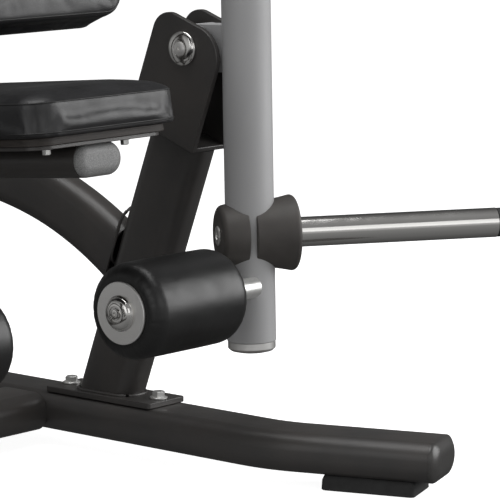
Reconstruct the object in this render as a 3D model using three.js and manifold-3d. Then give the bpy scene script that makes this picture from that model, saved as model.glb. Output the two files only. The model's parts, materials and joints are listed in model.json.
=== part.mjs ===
// A plate-loaded lat pulldown machine, in millimetres: +Z is up, the user faces -Y and X is lateral.
// The machine is symmetric about X = 0. The user's left side is built at +X and then mirrored.
import * as THREE from 'three';
import { mergeVertices } from 'three/addons/utils/BufferGeometryUtils.js';
import Module from 'manifold-3d';

const wasm = await Module();
wasm.setup();

// ---------- driving dimensions ----------
const GAP = 0.3; // clearance between faces that touch
const ROUND_SIDES = 20; // facets round a full circle
const CORNER_STEPS = 3; // facets round a quarter circle of a tube's section
const DEPTH_CENTRE = 405.7; // places the middle of the machine's depth at Y = 0

const FOOT_HEIGHT = 25;
const FOOT_WIDTH = 84;
const FOOT_LENGTH = 158;
const FRONT_FOOT_SETBACK = 27; // from the rail's end
const REAR_FOOT_SETBACK = 6;
const RAIL = { width: 120, height: 66, corner: 27, wall: 4 };
const RAIL_X = 486;
const RAIL_REAR_Y = 1160;
const RAIL_BEND_Y = -58;
const RAIL_BEND_RADIUS = 260;
const RAIL_SPLAY = THREE.MathUtils.degToRad(19.5);
const RAIL_SPLAY_LENGTH = 276;
const RAIL_CAP_THICKNESS = 14;
const RAIL_TOP = FOOT_HEIGHT + RAIL.height;
const FRONT_CROSS_Y = 465;
const REAR_CROSS_Y = 1090;

const UPRIGHT = { width: 115, height: 65, corner: 28, wall: 4 };
const UPRIGHT_LEAN = THREE.MathUtils.degToRad(20.3);
const UPRIGHT_BASE_Y = 306;
const UPRIGHT_LENGTH = 476;
const FLANGE = { width: 90, length: 240, thickness: 10, corner: 5 };
const FLANGE_BOLT_SPREAD = 101;
const BOLT = { head: 11, headHeight: 10, washer: 15, washerHeight: 3 };

const CLEVIS_PLATE = 10;
const CLEVIS_TOP = 675;
const CLEVIS_BOTTOM = 477;
const CLEVIS_REAR = -91;
const CLEVIS_FRONT = 58;
const PIVOT_ALONG = 630; // pivot's distance up the upright
const PIVOT_ACROSS = -18; // and its offset from the upright's centre line, + is forward
const CLEVIS_TOE = 52; // corner radius at the top front
const CLEVIS_HEEL = 36; // and at the top rear
const CLEVIS_SOLE = 8; // thickness of the plate that closes the bottom
const UPRIGHT_BASE_Z = RAIL_TOP + FLANGE.thickness + GAP;
const PIVOT_Y = UPRIGHT_BASE_Y - PIVOT_ALONG * Math.sin(UPRIGHT_LEAN) - PIVOT_ACROSS * Math.cos(UPRIGHT_LEAN);
const PIVOT_Z = UPRIGHT_BASE_Z + PIVOT_ALONG * Math.cos(UPRIGHT_LEAN) - PIVOT_ACROSS * Math.sin(UPRIGHT_LEAN);
const PIN_RADIUS = 15;
const PIN_CAP_RADIUS = 28.5;

const LEVER_RADIUS = 40;
const LEVER_WALL = 4;
const LEVER_OFFSET = -99; // tube axis in front of the pivot
const LEVER_TILT = THREE.MathUtils.degToRad(-1.3);
const LEVER_BOTTOM = -491;
const LEVER_TOP = 104;
const END_RING_HEIGHT = 16;
const HUB_RADIUS = 38;
const HUB_LENGTH = 62;

const HORN_ANGLE = THREE.MathUtils.degToRad(36.2); // swept forward of straight outboard
const HORN_Z = -301;
const HORN_RADIUS = 24.5;
const HORN_END = 418;
const HORN_PLUG = 12;
const OUTER_COLLAR_START = 2;
const INNER_COLLAR_START = -10;
const COLLAR_ROOT_RADIUS = 53;
const OUTER_COLLAR = { end: 74, radius: 62 };
const INNER_COLLAR = { end: 53, radius: 41 };

const ROLLER = { radius: 76, length: 222, inner: -337.5, y: -127, z: -382.5 };
const AXLE_RADIUS = 17;
const ROLLER_CAP_RADIUS = 49;

const MAST_TOP = 1930;
const HEAD_HALF = 290;
const ARM_PIVOT_Z = 1964;
const ARM_X = 340;
const ARM = { width: 80, height: 50, corner: 18, wall: 4, front: 600, rear: 400, rise: 15 };
const ARM_HUB = { radius: 46, length: 76 };
const ARM_PIN_RADIUS = 20;
const GRIP = { radius: 19, length: 150 };
const ARM_HORN_Y = 350;
const ARM_HORN_LENGTH = 320;

const SEAT = { width: 320, depth: 420, thickness: 77, corner: 40, frontY: -157, z: 624, tilt: -5 };
const SEAT_BOARD = 12;
const BOARD_INSET = 16; // from the pad's edge
const STEEL_INSET = 23;
const SEAT_STEEL = 6;
const SEAT_BEAM = { width: 50, height: 98, corner: 24, wall: 4 };
const SEAT_BEAM_START = 42;
const SEAT_BEAM_LENGTH = 640; // runs past the mast, where it is cut off
const SEAT_BEAM_CAP = 12;
const BACK = { width: 400, length: 620, thickness: 77, corner: 50, y: -18, z: 774, recline: -19 };
const BACK_BOARD = 12;
const BACK_BAR = { width: 70, height: 90, z: 1030 };
const BACK_PLATE = { width: 180, thickness: 8, height: 260, z: 290 };
const PAD_EDGE = 10;

const ARCH_SECTION = { width: 65, height: 100, corner: 28, wall: 4 };
const ARCH_START = [0, 268, 330];
const ARCH_RISE = [0, 395, 425];
const ARCH_APEX = [0, 560, 455];
const ARCH_OVER = [0, 790, 478];
const ARCH_SHOULDER = [0, 930, 330];
const ARCH_END = [0, 1010, 60];
const STRUT_SECTION = { width: 60, height: 100, corner: 24, wall: 4 };
const STRUT_FOOT_Z = RAIL_TOP - 30;
const STRUT_TOP_Z = 1100;
const MAST_FLANGE = { width: 220, height: 118, corner: 10 };

// ---------- finishes ----------
const finish = (color, roughness, metalness) => (
  new THREE.MeshStandardMaterial({ color, roughness, metalness })
);
const FINISH = {
  frame: finish(0x2e2c2b, 0.5, 0.3),
  silver: finish(0x9c9d9d, 0.38, 0.7),
  chrome: finish(0xd5d3cf, 0.15, 1),
  zinc: finish(0xb8b8b4, 0.35, 0.9),
  collar: finish(0x3f3d3b, 0.6, 0),
  rubber: finish(0x1d1d1d, 0.8, 0),
  cap: finish(0x4a4a4a, 0.6, 0),
  vinyl: finish(0x222222, 0.5, 0),
  board: finish(0x2b2724, 0.7, 0),
};

// ---------- shapes ----------
function ovalShape({ width, height, corner, wall = 0 }) {
  const outline = (w, h, r) => {
    const points = [];
    const centres = [[1, 1], [-1, 1], [-1, -1], [1, -1]];
    centres.forEach(([sideX, sideY], quarter) => {
      for (let i = 0; i <= CORNER_STEPS; i += 1) {
        const angle = (Math.PI / 2) * (quarter + i / CORNER_STEPS);
        const x = sideX * (w / 2 - r) + r * Math.cos(angle);
        const y = sideY * (h / 2 - r) + r * Math.sin(angle);
        points.push(new THREE.Vector2(x, y));
      }
    });
    return points;
  };
  const shape = new THREE.Shape(outline(width, height, corner));
  if (wall > 0) {
    const inner = outline(width - 2 * wall, height - 2 * wall, corner - wall);
    shape.holes.push(new THREE.Path(inner));
  }
  return shape;
}

// A run of straight lengths through the given stations, with one section at each station.
class StationCurve extends THREE.Curve {
  constructor(stations) {
    super();
    this.stations = stations;
  }

  getPoint(t) {
    const lengths = this.stations.length - 1;
    const index = Math.min(Math.floor(t * lengths), lengths - 1);
    return this.stations[index].clone().lerp(this.stations[index + 1], t * lengths - index);
  }

  getUtoTmapping(u) {
    return u;
  }
}

// Extrudes a section along +Z from z = 0.
function prism(shape, depth) {
  return new THREE.ExtrudeGeometry(shape, { depth, bevelEnabled: false, steps: 1, curveSegments: 8 });
}

// Extrudes a shape drawn in the YZ plane along X, centred on X = 0.
function sidePrism(shape, thickness) {
  const toSide = new THREE.Matrix4().set(0, 0, 1, -thickness / 2, 1, 0, 0, 0, 0, 1, 0, 0, 0, 0, 0, 1);
  return prism(shape, thickness).applyMatrix4(toSide);
}

// A straight section lying along X, centred; the section's width is along Y and its height along Z.
function lateralTube(section, length) {
  return sidePrism(ovalShape(section), length);
}

function sweep(section, stations) {
  const steps = stations.length - 1;
  const settings = { extrudePath: new StationCurve(stations), steps, bevelEnabled: false };
  return new THREE.ExtrudeGeometry(ovalShape(section), settings);
}

function box(x, y, z) {
  return new THREE.BoxGeometry(x, y, z);
}

// A turned solid about the X axis; the profile lists [x, radius] and starts and ends on the axis.
function turned(profile, sides = ROUND_SIDES) {
  const points = profile.map(([x, radius]) => new THREE.Vector2(radius, x));
  return new THREE.LatheGeometry(points, sides).rotateZ(-Math.PI / 2);
}

function rod(radius, from, to, sides = ROUND_SIDES) {
  return turned([[from, 0], [from, radius], [to, radius], [to, 0]], sides);
}

// Round corner points of a turned profile, as [x, radius] pairs.
function roundOver(x, radius, size, fromAngle, toAngle, steps = 3) {
  const points = [];
  for (let i = 0; i <= steps; i += 1) {
    const angle = THREE.MathUtils.degToRad(fromAngle + ((toAngle - fromAngle) * i) / steps);
    points.push([x + size * Math.cos(angle), radius + size * Math.sin(angle)]);
  }
  return points;
}

// ---------- joining and cutting ----------
function solidOf(geometry) {
  const bare = geometry.clone();
  bare.deleteAttribute('normal');
  bare.deleteAttribute('uv');
  const merged = mergeVertices(bare, 1e-4);
  const mesh = new wasm.Mesh({
    numProp: 3,
    vertProperties: new Float32Array(merged.attributes.position.array),
    triVerts: new Uint32Array(merged.index.array),
  });
  return new wasm.Manifold(mesh);
}

function geometryOf(solid) {
  const mesh = solid.getMesh();
  const geometry = new THREE.BufferGeometry();
  geometry.setAttribute('position', new THREE.BufferAttribute(mesh.vertProperties, 3));
  geometry.setIndex(new THREE.BufferAttribute(mesh.triVerts, 1));
  geometry.computeVertexNormals();
  return geometry;
}

// Joins the first list of shapes and cuts the second list from them.
function shaped(joined, cuts = []) {
  let solid = solidOf(joined[0]);
  for (const other of joined.slice(1)) solid = solid.add(solidOf(other));
  for (const cut of cuts) solid = solid.subtract(solidOf(cut));
  return geometryOf(solid);
}

function named(name, geometry, material, position = [0, 0, 0]) {
  const mesh = new THREE.Mesh(geometry, material);
  mesh.name = name;
  mesh.position.set(...position);
  return mesh;
}

function groupAt(position, rotation, ...children) {
  const group = new THREE.Group();
  group.position.set(...position);
  group.rotation.set(...rotation);
  group.add(...children);
  return group;
}

// ---------- base ----------
function railCurve() {
  const trim = RAIL_BEND_RADIUS * Math.tan(RAIL_SPLAY / 2);
  const ahead = new THREE.Vector3(Math.sin(RAIL_SPLAY), -Math.cos(RAIL_SPLAY), 0);
  const rear = new THREE.Vector3(0, RAIL_REAR_Y, 0);
  const bend = new THREE.Vector3(0, RAIL_BEND_Y, 0);
  const bendStart = new THREE.Vector3(0, RAIL_BEND_Y + trim, 0);
  const bendEnd = bend.clone().addScaledVector(ahead, trim);
  const front = bend.clone().addScaledVector(ahead, RAIL_SPLAY_LENGTH);
  return { rear, bendStart, bend, bendEnd, front };
}

// The rail is one tube: straight, then bent, then splayed outward.
function railGeometry() {
  const { rear, bendStart, bend, bendEnd, front } = railCurve();
  const section = { ...RAIL, width: RAIL.height, height: RAIL.width };
  const bendStations = new THREE.QuadraticBezierCurve3(bendStart, bend, bendEnd).getPoints(6);
  return sweep(section, [rear, ...bendStations, front]);
}

function railParts() {
  const { front } = railCurve();
  const centreZ = FOOT_HEIGHT + RAIL.height / 2;
  const capShape = ovalShape({ ...RAIL, wall: 0 });
  const capSettings = { depth: 4, bevelEnabled: true, bevelSize: 9, bevelThickness: 9.7, bevelOffset: -9 };
  const cap = new THREE.ExtrudeGeometry(capShape, { ...capSettings, bevelSegments: 3 });
  cap.translate(0, 0, 9.7);
  const backCut = box(RAIL.width * 2, RAIL.height * 2, 40).translate(0, 0, -20 + 9.7);
  const capGeometry = shaped([cap], [backCut]).translate(0, 0, -9.7).rotateX(Math.PI / 2);
  const foot = box(FOOT_WIDTH, FOOT_LENGTH, FOOT_HEIGHT - GAP);
  const footY = FRONT_FOOT_SETBACK + FOOT_LENGTH / 2;
  const rearFoot = box(FOOT_WIDTH, FOOT_LENGTH, FOOT_HEIGHT - GAP);
  const footZ = (FOOT_HEIGHT - GAP) / 2;
  const rearFootY = RAIL_REAR_Y - REAR_FOOT_SETBACK - FOOT_LENGTH / 2;
  const splayed = groupAt([RAIL_X + front.x, front.y, 0], [0, 0, RAIL_SPLAY],
    named('rail_cap_left', capGeometry, FINISH.cap, [0, -GAP, centreZ]),
    named('front_foot_left', foot, FINISH.rubber, [0, footY, footZ]));
  return [
    named('side_rail_left', railGeometry(), FINISH.frame, [RAIL_X, 0, centreZ]),
    splayed,
    named('rear_foot_left', rearFoot, FINISH.rubber, [RAIL_X, rearFootY, footZ]),
  ];
}

function crossMember(name, y) {
  const length = 2 * (RAIL_X - RAIL.width / 2 - GAP);
  return named(name, lateralTube(RAIL, length), FINISH.frame, [0, y, FOOT_HEIGHT + RAIL.height / 2]);
}

function boltGeometry() {
  const washer = new THREE.CylinderGeometry(BOLT.washer, BOLT.washer, BOLT.washerHeight, 16);
  washer.translate(0, BOLT.washerHeight / 2, 0);
  const head = new THREE.CylinderGeometry(BOLT.head - 1.5, BOLT.head, BOLT.headHeight, 6);
  head.translate(0, BOLT.washerHeight + BOLT.headHeight / 2 - 0.1, 0);
  return shaped([washer, head]).rotateX(Math.PI / 2);
}

// ---------- side uprights ----------
function uprightParts() {
  const top = ovalShape({ ...UPRIGHT, wall: 0 });
  const bore = ovalShape({
    width: UPRIGHT.width - 2 * UPRIGHT.wall,
    height: UPRIGHT.height - 2 * UPRIGHT.wall,
    corner: UPRIGHT.corner - UPRIGHT.wall,
  });
  // The section is drawn with its long side along X, then turned so that side runs fore and aft.
  const place = (geometry) => geometry.rotateZ(Math.PI / 2).rotateX(UPRIGHT_LEAN);
  const tube = place(prism(top, UPRIGHT_LENGTH + 60).translate(0, 0, -60));
  const hollow = place(prism(bore, UPRIGHT_LENGTH + 80).translate(0, 0, -40));
  const below = box(400, 400, 200).translate(0, 0, -100 - FLANGE.thickness + 1);
  const flangeShape = ovalShape({ width: FLANGE.width, height: FLANGE.length, corner: FLANGE.corner });
  const flange = prism(flangeShape, FLANGE.thickness).translate(0, -5, -FLANGE.thickness);
  const upright = shaped([shaped([tube], [hollow, below]), flange]);
  const baseZ = UPRIGHT_BASE_Z;
  return [
    named('side_upright_left', upright, FINISH.frame, [RAIL_X, UPRIGHT_BASE_Y, baseZ]),
    named('flange_bolt_front_left', boltGeometry(), FINISH.zinc,
      [RAIL_X, UPRIGHT_BASE_Y - 5 - FLANGE_BOLT_SPREAD, baseZ + GAP]),
    named('flange_bolt_rear_left', boltGeometry(), FINISH.zinc,
      [RAIL_X, UPRIGHT_BASE_Y - 5 + FLANGE_BOLT_SPREAD, baseZ + GAP]),
    clevis(baseZ),
  ];
}

// Two cheek plates on the upright's flanks, joined behind the pivot by a cross plate.
function clevis(baseZ) {
  const outline = new THREE.Shape();
  outline.moveTo(-CLEVIS_REAR, CLEVIS_BOTTOM);
  outline.lineTo(-CLEVIS_FRONT, CLEVIS_BOTTOM);
  outline.absarc(-CLEVIS_FRONT + CLEVIS_TOE, CLEVIS_TOP - CLEVIS_TOE, CLEVIS_TOE, Math.PI, Math.PI / 2, true);
  outline.absarc(-CLEVIS_REAR - CLEVIS_HEEL, CLEVIS_TOP - CLEVIS_HEEL, CLEVIS_HEEL, Math.PI / 2, 0, true);
  outline.closePath();
  const hole = new THREE.Path().absarc(-PIVOT_ACROSS, PIVOT_ALONG, PIN_RADIUS + GAP, 0, Math.PI * 2);
  outline.holes.push(hole);
  const sideX = UPRIGHT.height / 2 + CLEVIS_PLATE / 2 + GAP;
  const near = sidePrism(outline, CLEVIS_PLATE).translate(-sideX, 0, 0);
  const far = sidePrism(outline, CLEVIS_PLATE).translate(sideX, 0, 0);
  const web = box(2 * sideX, 10, 96).translate(0, -CLEVIS_REAR - 9, CLEVIS_TOP - 82);
  const depth = -CLEVIS_REAR + CLEVIS_FRONT;
  const sole = box(2 * sideX, depth, CLEVIS_SOLE);
  sole.translate(0, -CLEVIS_REAR - depth / 2, CLEVIS_BOTTOM + CLEVIS_SOLE / 2);
  const plates = shaped([near, far, web, sole]).rotateX(UPRIGHT_LEAN);
  return named('pivot_clevis_left', plates, FINISH.frame, [RAIL_X, UPRIGHT_BASE_Y, baseZ]);
}

// A bowed tube from the upright's rear edge, over, and down onto the tail of the rail.
function archBrace() {
  const points = [ARCH_START, ARCH_RISE, ARCH_APEX, ARCH_OVER, ARCH_SHOULDER, ARCH_END];
  const [start, rise, apex, over, shoulder, end] = points.map((point) => new THREE.Vector3(...point));
  const climb = new THREE.QuadraticBezierCurve3(start, rise, apex).getPoints(4);
  const fall = new THREE.CubicBezierCurve3(apex, over, shoulder, end).getPoints(8);
  const tube = sweep(ARCH_SECTION, [...climb, ...fall.slice(1)]);
  const below = box(300, 400, 200).translate(0, 1000, RAIL_TOP + GAP - 100);
  const upright = sidePrism(ovalShape({ width: UPRIGHT.width + 2 * GAP, height: 1200, corner: 1 }), 200)
    .rotateX(UPRIGHT_LEAN).translate(0, UPRIGHT_BASE_Y, RAIL_TOP + FLANGE.thickness);
  const ahead = box(300, 400, 1200).rotateX(UPRIGHT_LEAN).translate(0, UPRIGHT_BASE_Y - 212, RAIL_TOP + 78);
  return named('arch_brace_left', shaped([tube], [below, upright, ahead]), FINISH.frame, [RAIL_X, 0, 0]);
}

// ---------- swinging lever ----------
function upright(geometry) {
  return geometry.rotateY(-Math.PI / 2);
}

function leverParts() {
  const tubeOutside = upright(rod(LEVER_RADIUS, LEVER_BOTTOM + END_RING_HEIGHT, LEVER_TOP));
  const tubeInside = upright(rod(LEVER_RADIUS - LEVER_WALL, LEVER_BOTTOM - 1, LEVER_TOP + 1, 16));
  tubeOutside.translate(0, LEVER_OFFSET, 0);
  tubeInside.translate(0, LEVER_OFFSET, 0);
  const hub = rod(HUB_RADIUS, -HUB_LENGTH / 2, HUB_LENGTH / 2);
  const gusset = box(44, -LEVER_OFFSET, 2 * HUB_RADIUS).translate(0, LEVER_OFFSET / 2, 0);
  const bore = rod(PIN_RADIUS + GAP, -HUB_LENGTH, HUB_LENGTH);
  const lever = shaped([tubeOutside, hub, gusset], [tubeInside, bore]);

  const ringProfile = [
    [LEVER_BOTTOM, 0],
    [LEVER_BOTTOM, LEVER_RADIUS - 7],
    [LEVER_BOTTOM + 4, LEVER_RADIUS - 1],
    [LEVER_BOTTOM + END_RING_HEIGHT - GAP, LEVER_RADIUS - 1],
    [LEVER_BOTTOM + END_RING_HEIGHT - GAP, 0],
  ];
  const ring = upright(turned(ringProfile)).translate(0, LEVER_OFFSET, 0);
  return [
    named('lever_tube_left', lever, FINISH.silver),
    named('lever_end_ring_left', ring, FINISH.chrome),
    ...hornParts(),
    ...rollerParts(),
  ];
}

function hornParts() {
  const tube = upright(rod(LEVER_RADIUS + 3 * GAP, -120, 120));
  const outerProfile = [
    [OUTER_COLLAR_START, 0],
    [OUTER_COLLAR_START, COLLAR_ROOT_RADIUS],
    [LEVER_RADIUS, COLLAR_ROOT_RADIUS + 3],
    ...roundOver(OUTER_COLLAR.end - 9, OUTER_COLLAR.radius - 9, 9, 90, 0),
    [OUTER_COLLAR.end, 0],
  ];
  const innerProfile = [
    [-INNER_COLLAR.end, 0],
    ...roundOver(-INNER_COLLAR.end + 8, INNER_COLLAR.radius - 2, 8, 180, 90),
    [-LEVER_RADIUS, COLLAR_ROOT_RADIUS - 1],
    [INNER_COLLAR_START, COLLAR_ROOT_RADIUS],
    [INNER_COLLAR_START, 0],
  ];
  const hornBore = rod(HORN_RADIUS + GAP, 0, 200);
  const outer = shaped([turned(outerProfile)], [tube, hornBore]);
  const inner = shaped([turned(innerProfile)], [tube]);
  const horn = shaped([rod(HORN_RADIUS, 20, HORN_END)], [tube]);
  const plugProfile = [
    [HORN_END + GAP, 0],
    [HORN_END + GAP, HORN_RADIUS - 0.5],
    ...roundOver(HORN_END + HORN_PLUG - 4, HORN_RADIUS - 4.5, 4, 90, 0, 3),
    [HORN_END + HORN_PLUG, 0],
  ];
  const parts = [
    named('horn_collar_outer_left', outer, FINISH.collar),
    named('horn_collar_inner_left', inner, FINISH.collar),
    named('plate_horn_left', horn, FINISH.chrome),
    named('horn_plug_left', turned(plugProfile), FINISH.rubber),
  ];
  return [groupAt([0, LEVER_OFFSET, HORN_Z], [0, 0, -HORN_ANGLE], ...parts)];
}

function rollerParts() {
  const inner = ROLLER.inner;
  const outer = ROLLER.inner + ROLLER.length;
  const tube = upright(rod(LEVER_RADIUS + 3 * GAP, -120, 120)).translate(0, LEVER_OFFSET - ROLLER.y, 0);
  const axle = shaped([rod(AXLE_RADIUS, inner, -22, 16)], [tube]);
  const round = 22;
  const rollerProfile = [
    [inner, AXLE_RADIUS + GAP],
    ...roundOver(inner + round, ROLLER.radius - round, round, 180, 90),
    ...roundOver(outer - round, ROLLER.radius - round, round, 90, 0),
    [outer, AXLE_RADIUS + GAP],
    [inner, AXLE_RADIUS + GAP],
  ];
  const capProfile = [
    [inner - GAP, 0],
    [inner - GAP, ROLLER_CAP_RADIUS],
    [inner - GAP - 3, ROLLER_CAP_RADIUS],
    [inner - GAP - 4, ROLLER_CAP_RADIUS - 2],
    [inner - GAP - 4, 28],
    ...roundOver(inner - GAP - 4, 22, 6, 90, 180, 3),
    [inner - GAP - 12, 12],
    [inner - GAP - 12, 0],
  ];
  const parts = [
    named('roller_axle_left', axle, FINISH.zinc),
    named('shin_roller_left', turned(rollerProfile, 28), FINISH.vinyl),
    named('roller_end_cap_left', turned(capProfile.reverse()), FINISH.zinc),
  ];
  return [groupAt([0, ROLLER.y, ROLLER.z], [0, 0, 0], ...parts)];
}

function pivotPin() {
  const face = UPRIGHT.height / 2 + CLEVIS_PLATE + 2 * GAP;
  const cap = (side) => [
    [side * (face + 3), PIN_CAP_RADIUS],
    [side * (face + 8), PIN_CAP_RADIUS - 4],
    [side * (face + 12), 14],
    [side * (face + 12), 0],
  ];
  const profile = [
    ...cap(-1).reverse(),
    [-face, PIN_CAP_RADIUS],
    [-face, PIN_RADIUS],
    [face, PIN_RADIUS],
    [face, PIN_CAP_RADIUS],
    ...cap(1),
  ];
  return named('lever_pivot_pin_left', turned(profile), FINISH.chrome, [RAIL_X, PIVOT_Y, PIVOT_Z]);
}

// ---------- overhead pulldown arm ----------
function armParts() {
  const section = ovalShape({ ...ARM, width: ARM.width, height: ARM.height, wall: 0 });
  const bore = ovalShape({
    width: ARM.width - 2 * ARM.wall,
    height: ARM.height - 2 * ARM.wall,
    corner: ARM.corner - ARM.wall,
  });
  const lay = (geometry) => geometry.rotateZ(Math.PI / 2).rotateX(Math.PI / 2);
  const length = ARM.front + ARM.rear;
  const tube = lay(prism(section, length)).translate(0, ARM.rear, 0);
  const hollow = lay(prism(bore, length + 20)).translate(0, ARM.rear + 10, 0);
  const hub = rod(ARM_HUB.radius, -ARM_HUB.length / 2, ARM_HUB.length / 2);
  const hubBore = rod(ARM_PIN_RADIUS + GAP, -ARM_HUB.length, ARM_HUB.length);
  const handle = rod(14, -GRIP.length - 46, -10, 12).translate(0, -ARM.front + 50, 0);
  const arm = shaped([shaped([tube], [hollow]), handle, hub], [hubBore]);

  const gripProfile = [
    [-GRIP.length - 44, 14 + GAP],
    [-GRIP.length - 44, GRIP.radius - 2],
    [-GRIP.length - 40, GRIP.radius + 2],
    [-GRIP.length - 36, GRIP.radius],
    [-48, GRIP.radius],
    [-44, GRIP.radius + 5],
    [-38, GRIP.radius + 5],
    [-38, 14 + GAP],
    [-GRIP.length - 44, 14 + GAP],
  ];
  const grip = turned(gripProfile, 16);
  const face = ARM.height / 2 + GAP;
  const horn = rod(HORN_RADIUS, face, face + ARM_HORN_LENGTH);
  const collarProfile = [
    [face, HORN_RADIUS + GAP],
    [face, 62],
    ...roundOver(face + 20, 54, 8, 90, 0),
    [face + 28, HORN_RADIUS + GAP],
    [face, HORN_RADIUS + GAP],
  ];
  return [
    named('pulldown_arm_left', arm, FINISH.silver),
    named('hand_grip_left', grip, FINISH.rubber, [0, -ARM.front + 50, 0]),
    named('arm_plate_horn_left', horn, FINISH.chrome, [0, ARM_HORN_Y, 0]),
    named('arm_horn_collar_left', turned(collarProfile), FINISH.collar, [0, ARM_HORN_Y, 0]),
  ];
}

// The stub shaft on the head's end that carries an arm.
function armPin() {
  const start = HEAD_HALF + GAP;
  const hubStart = ARM_X - ARM_HUB.length / 2 - GAP;
  const hubEnd = ARM_X + ARM_HUB.length / 2 + GAP;
  const profile = [
    [start, 0],
    [start, 31],
    [hubStart, 31],
    [hubStart, ARM_PIN_RADIUS],
    [hubEnd, ARM_PIN_RADIUS],
    [hubEnd, 34],
    [hubEnd + 5, 34],
    [hubEnd + 10, 28],
    [hubEnd + 13, 14],
    [hubEnd + 13, 0],
  ];
  return named('arm_pivot_pin_left', turned(profile), FINISH.chrome, [0, FRONT_CROSS_Y, ARM_PIVOT_Z]);
}

// ---------- centre structure ----------
function mastParts() {
  const turnedSection = { width: RAIL.width, height: RAIL.height, corner: RAIL.corner, wall: RAIL.wall };
  const base = RAIL_TOP + FLANGE.thickness + GAP;
  const tube = prism(ovalShape(turnedSection), MAST_TOP - base + 1).rotateZ(Math.PI / 2);
  const flange = prism(ovalShape(MAST_FLANGE), FLANGE.thickness).translate(0, 0, -FLANGE.thickness + 1);
  const mast = shaped([tube, flange]);
  const head = lateralTube({ width: RAIL.width, height: RAIL.height, corner: RAIL.corner, wall: RAIL.wall },
    2 * HEAD_HALF);
  const headZ = MAST_TOP + GAP + RAIL.height / 2;

  const foot = new THREE.Vector3(0, REAR_CROSS_Y, STRUT_FOOT_Z);
  const top = new THREE.Vector3(0, FRONT_CROSS_Y, STRUT_TOP_Z);
  const run = top.clone().sub(foot);
  const slope = Math.atan2(-run.y, run.z);
  const strut = prism(ovalShape(STRUT_SECTION), run.length()).rotateX(slope).translate(0, foot.y, foot.z);
  const below = box(300, 400, 200).translate(0, REAR_CROSS_Y, RAIL_TOP + GAP - 100);
  const mastBody = box(200, RAIL.width + 2 * GAP, 2400).translate(0, FRONT_CROSS_Y, 1000);
  const ahead = box(200, 400, 2400).translate(0, FRONT_CROSS_Y - 200, 1000);
  return [
    named('mast', mast, FINISH.frame, [0, FRONT_CROSS_Y, base - 1]),
    named('head_tube', head, FINISH.frame, [0, FRONT_CROSS_Y, headZ]),
    named('rear_strut', shaped([strut], [below, mastBody, ahead]), FINISH.frame),
  ];
}

// A pad's outline with round corners, drawn in from its edge, lying in XY and centred.
function insetShape(width, depth, corner, inset) {
  return ovalShape({ width: width - 2 * inset, height: depth - 2 * inset, corner: corner - inset * 0.6 });
}

// The block itself, with bevelled edges; its base lies PAD_EDGE below z = 0.
function padBlock(width, depth, corner, thickness) {
  const outline = insetShape(width, depth, corner, PAD_EDGE);
  return new THREE.ExtrudeGeometry(outline, {
    depth: thickness - 2 * PAD_EDGE,
    bevelEnabled: true,
    bevelSize: PAD_EDGE,
    bevelThickness: PAD_EDGE,
    bevelSegments: 2,
  });
}

function seatParts() {
  const cushion = padBlock(SEAT.width, SEAT.depth, SEAT.corner, SEAT.thickness);
  cushion.translate(0, SEAT.depth / 2, PAD_EDGE);
  const board = prism(insetShape(SEAT.width, SEAT.depth, SEAT.corner, BOARD_INSET), SEAT_BOARD - GAP);
  board.translate(0, SEAT.depth / 2, -SEAT_BOARD);
  const steelShape = insetShape(SEAT.width, SEAT.depth, SEAT.corner, STEEL_INSET);
  const steelTop = -SEAT_BOARD - GAP;
  const steel = prism(steelShape, SEAT_STEEL).translate(0, SEAT.depth / 2, steelTop - SEAT_STEEL);
  const beamZ = steelTop - SEAT_STEEL - SEAT_BEAM.width / 2 + 0.5;
  const lay = (geometry) => geometry.rotateX(-Math.PI / 2).rotateY(Math.PI / 2);
  const tube = lay(prism(ovalShape(SEAT_BEAM), SEAT_BEAM_LENGTH)).translate(0, SEAT_BEAM_START, beamZ);
  const mastY = FRONT_CROSS_Y - RAIL.width / 2 - GAP - SEAT.frontY;
  const mastCut = box(400, 400, 800).translate(0, mastY + 200, 0);
  mastCut.rotateX(-THREE.MathUtils.degToRad(SEAT.tilt));
  const beam = shaped([tube, steel], [mastCut]);
  const { width, height, corner } = SEAT_BEAM;
  const capShape = ovalShape({ width: width - 2, height: height - 2, corner });
  const capY = SEAT_BEAM_START - SEAT_BEAM_CAP - GAP;
  const cap = lay(prism(capShape, SEAT_BEAM_CAP)).translate(0, capY, beamZ);
  return [groupAt([0, SEAT.frontY, SEAT.z], [THREE.MathUtils.degToRad(SEAT.tilt), 0, 0],
    named('seat_pad', cushion, FINISH.vinyl),
    named('seat_board', board, FINISH.board),
    named('seat_beam', beam, FINISH.frame),
    named('seat_beam_cap', cap, FINISH.cap))];
}

function backParts() {
  const cushion = padBlock(BACK.width, BACK.length, BACK.corner, BACK.thickness);
  const stand = (geometry) => geometry.rotateX(Math.PI / 2);
  stand(cushion).translate(0, BACK.thickness - PAD_EDGE, BACK.length / 2);
  const boardShape = insetShape(BACK.width, BACK.length, BACK.corner, BOARD_INSET);
  const board = stand(prism(boardShape, BACK_BOARD));
  board.translate(0, BACK.thickness + GAP + BACK_BOARD, BACK.length / 2);
  const recline = THREE.MathUtils.degToRad(BACK.recline);
  const mastFront = FRONT_CROSS_Y - RAIL.width / 2 - GAP;
  const bar = box(BACK_BAR.width, 400, BACK_BAR.height).translate(0, mastFront - 200, BACK_BAR.z);
  const plateDepth = BACK.thickness + GAP + BACK_BOARD + GAP;
  const padCut = box(800, 400, 2000).translate(0, plateDepth - 200, 300).rotateX(recline);
  padCut.translate(0, BACK.y, BACK.z);
  const plate = box(BACK_PLATE.width, BACK_PLATE.thickness, BACK_PLATE.height);
  plate.translate(0, plateDepth + BACK_PLATE.thickness / 2, BACK_PLATE.z).rotateX(recline);
  plate.translate(0, BACK.y, BACK.z);
  return [
    groupAt([0, BACK.y, BACK.z], [recline, 0, 0],
      named('back_pad', cushion, FINISH.vinyl),
      named('back_board', board, FINISH.board)),
    named('back_bracket', shaped([shaped([bar], [padCut]), plate]), FINISH.frame),
  ];
}

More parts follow.
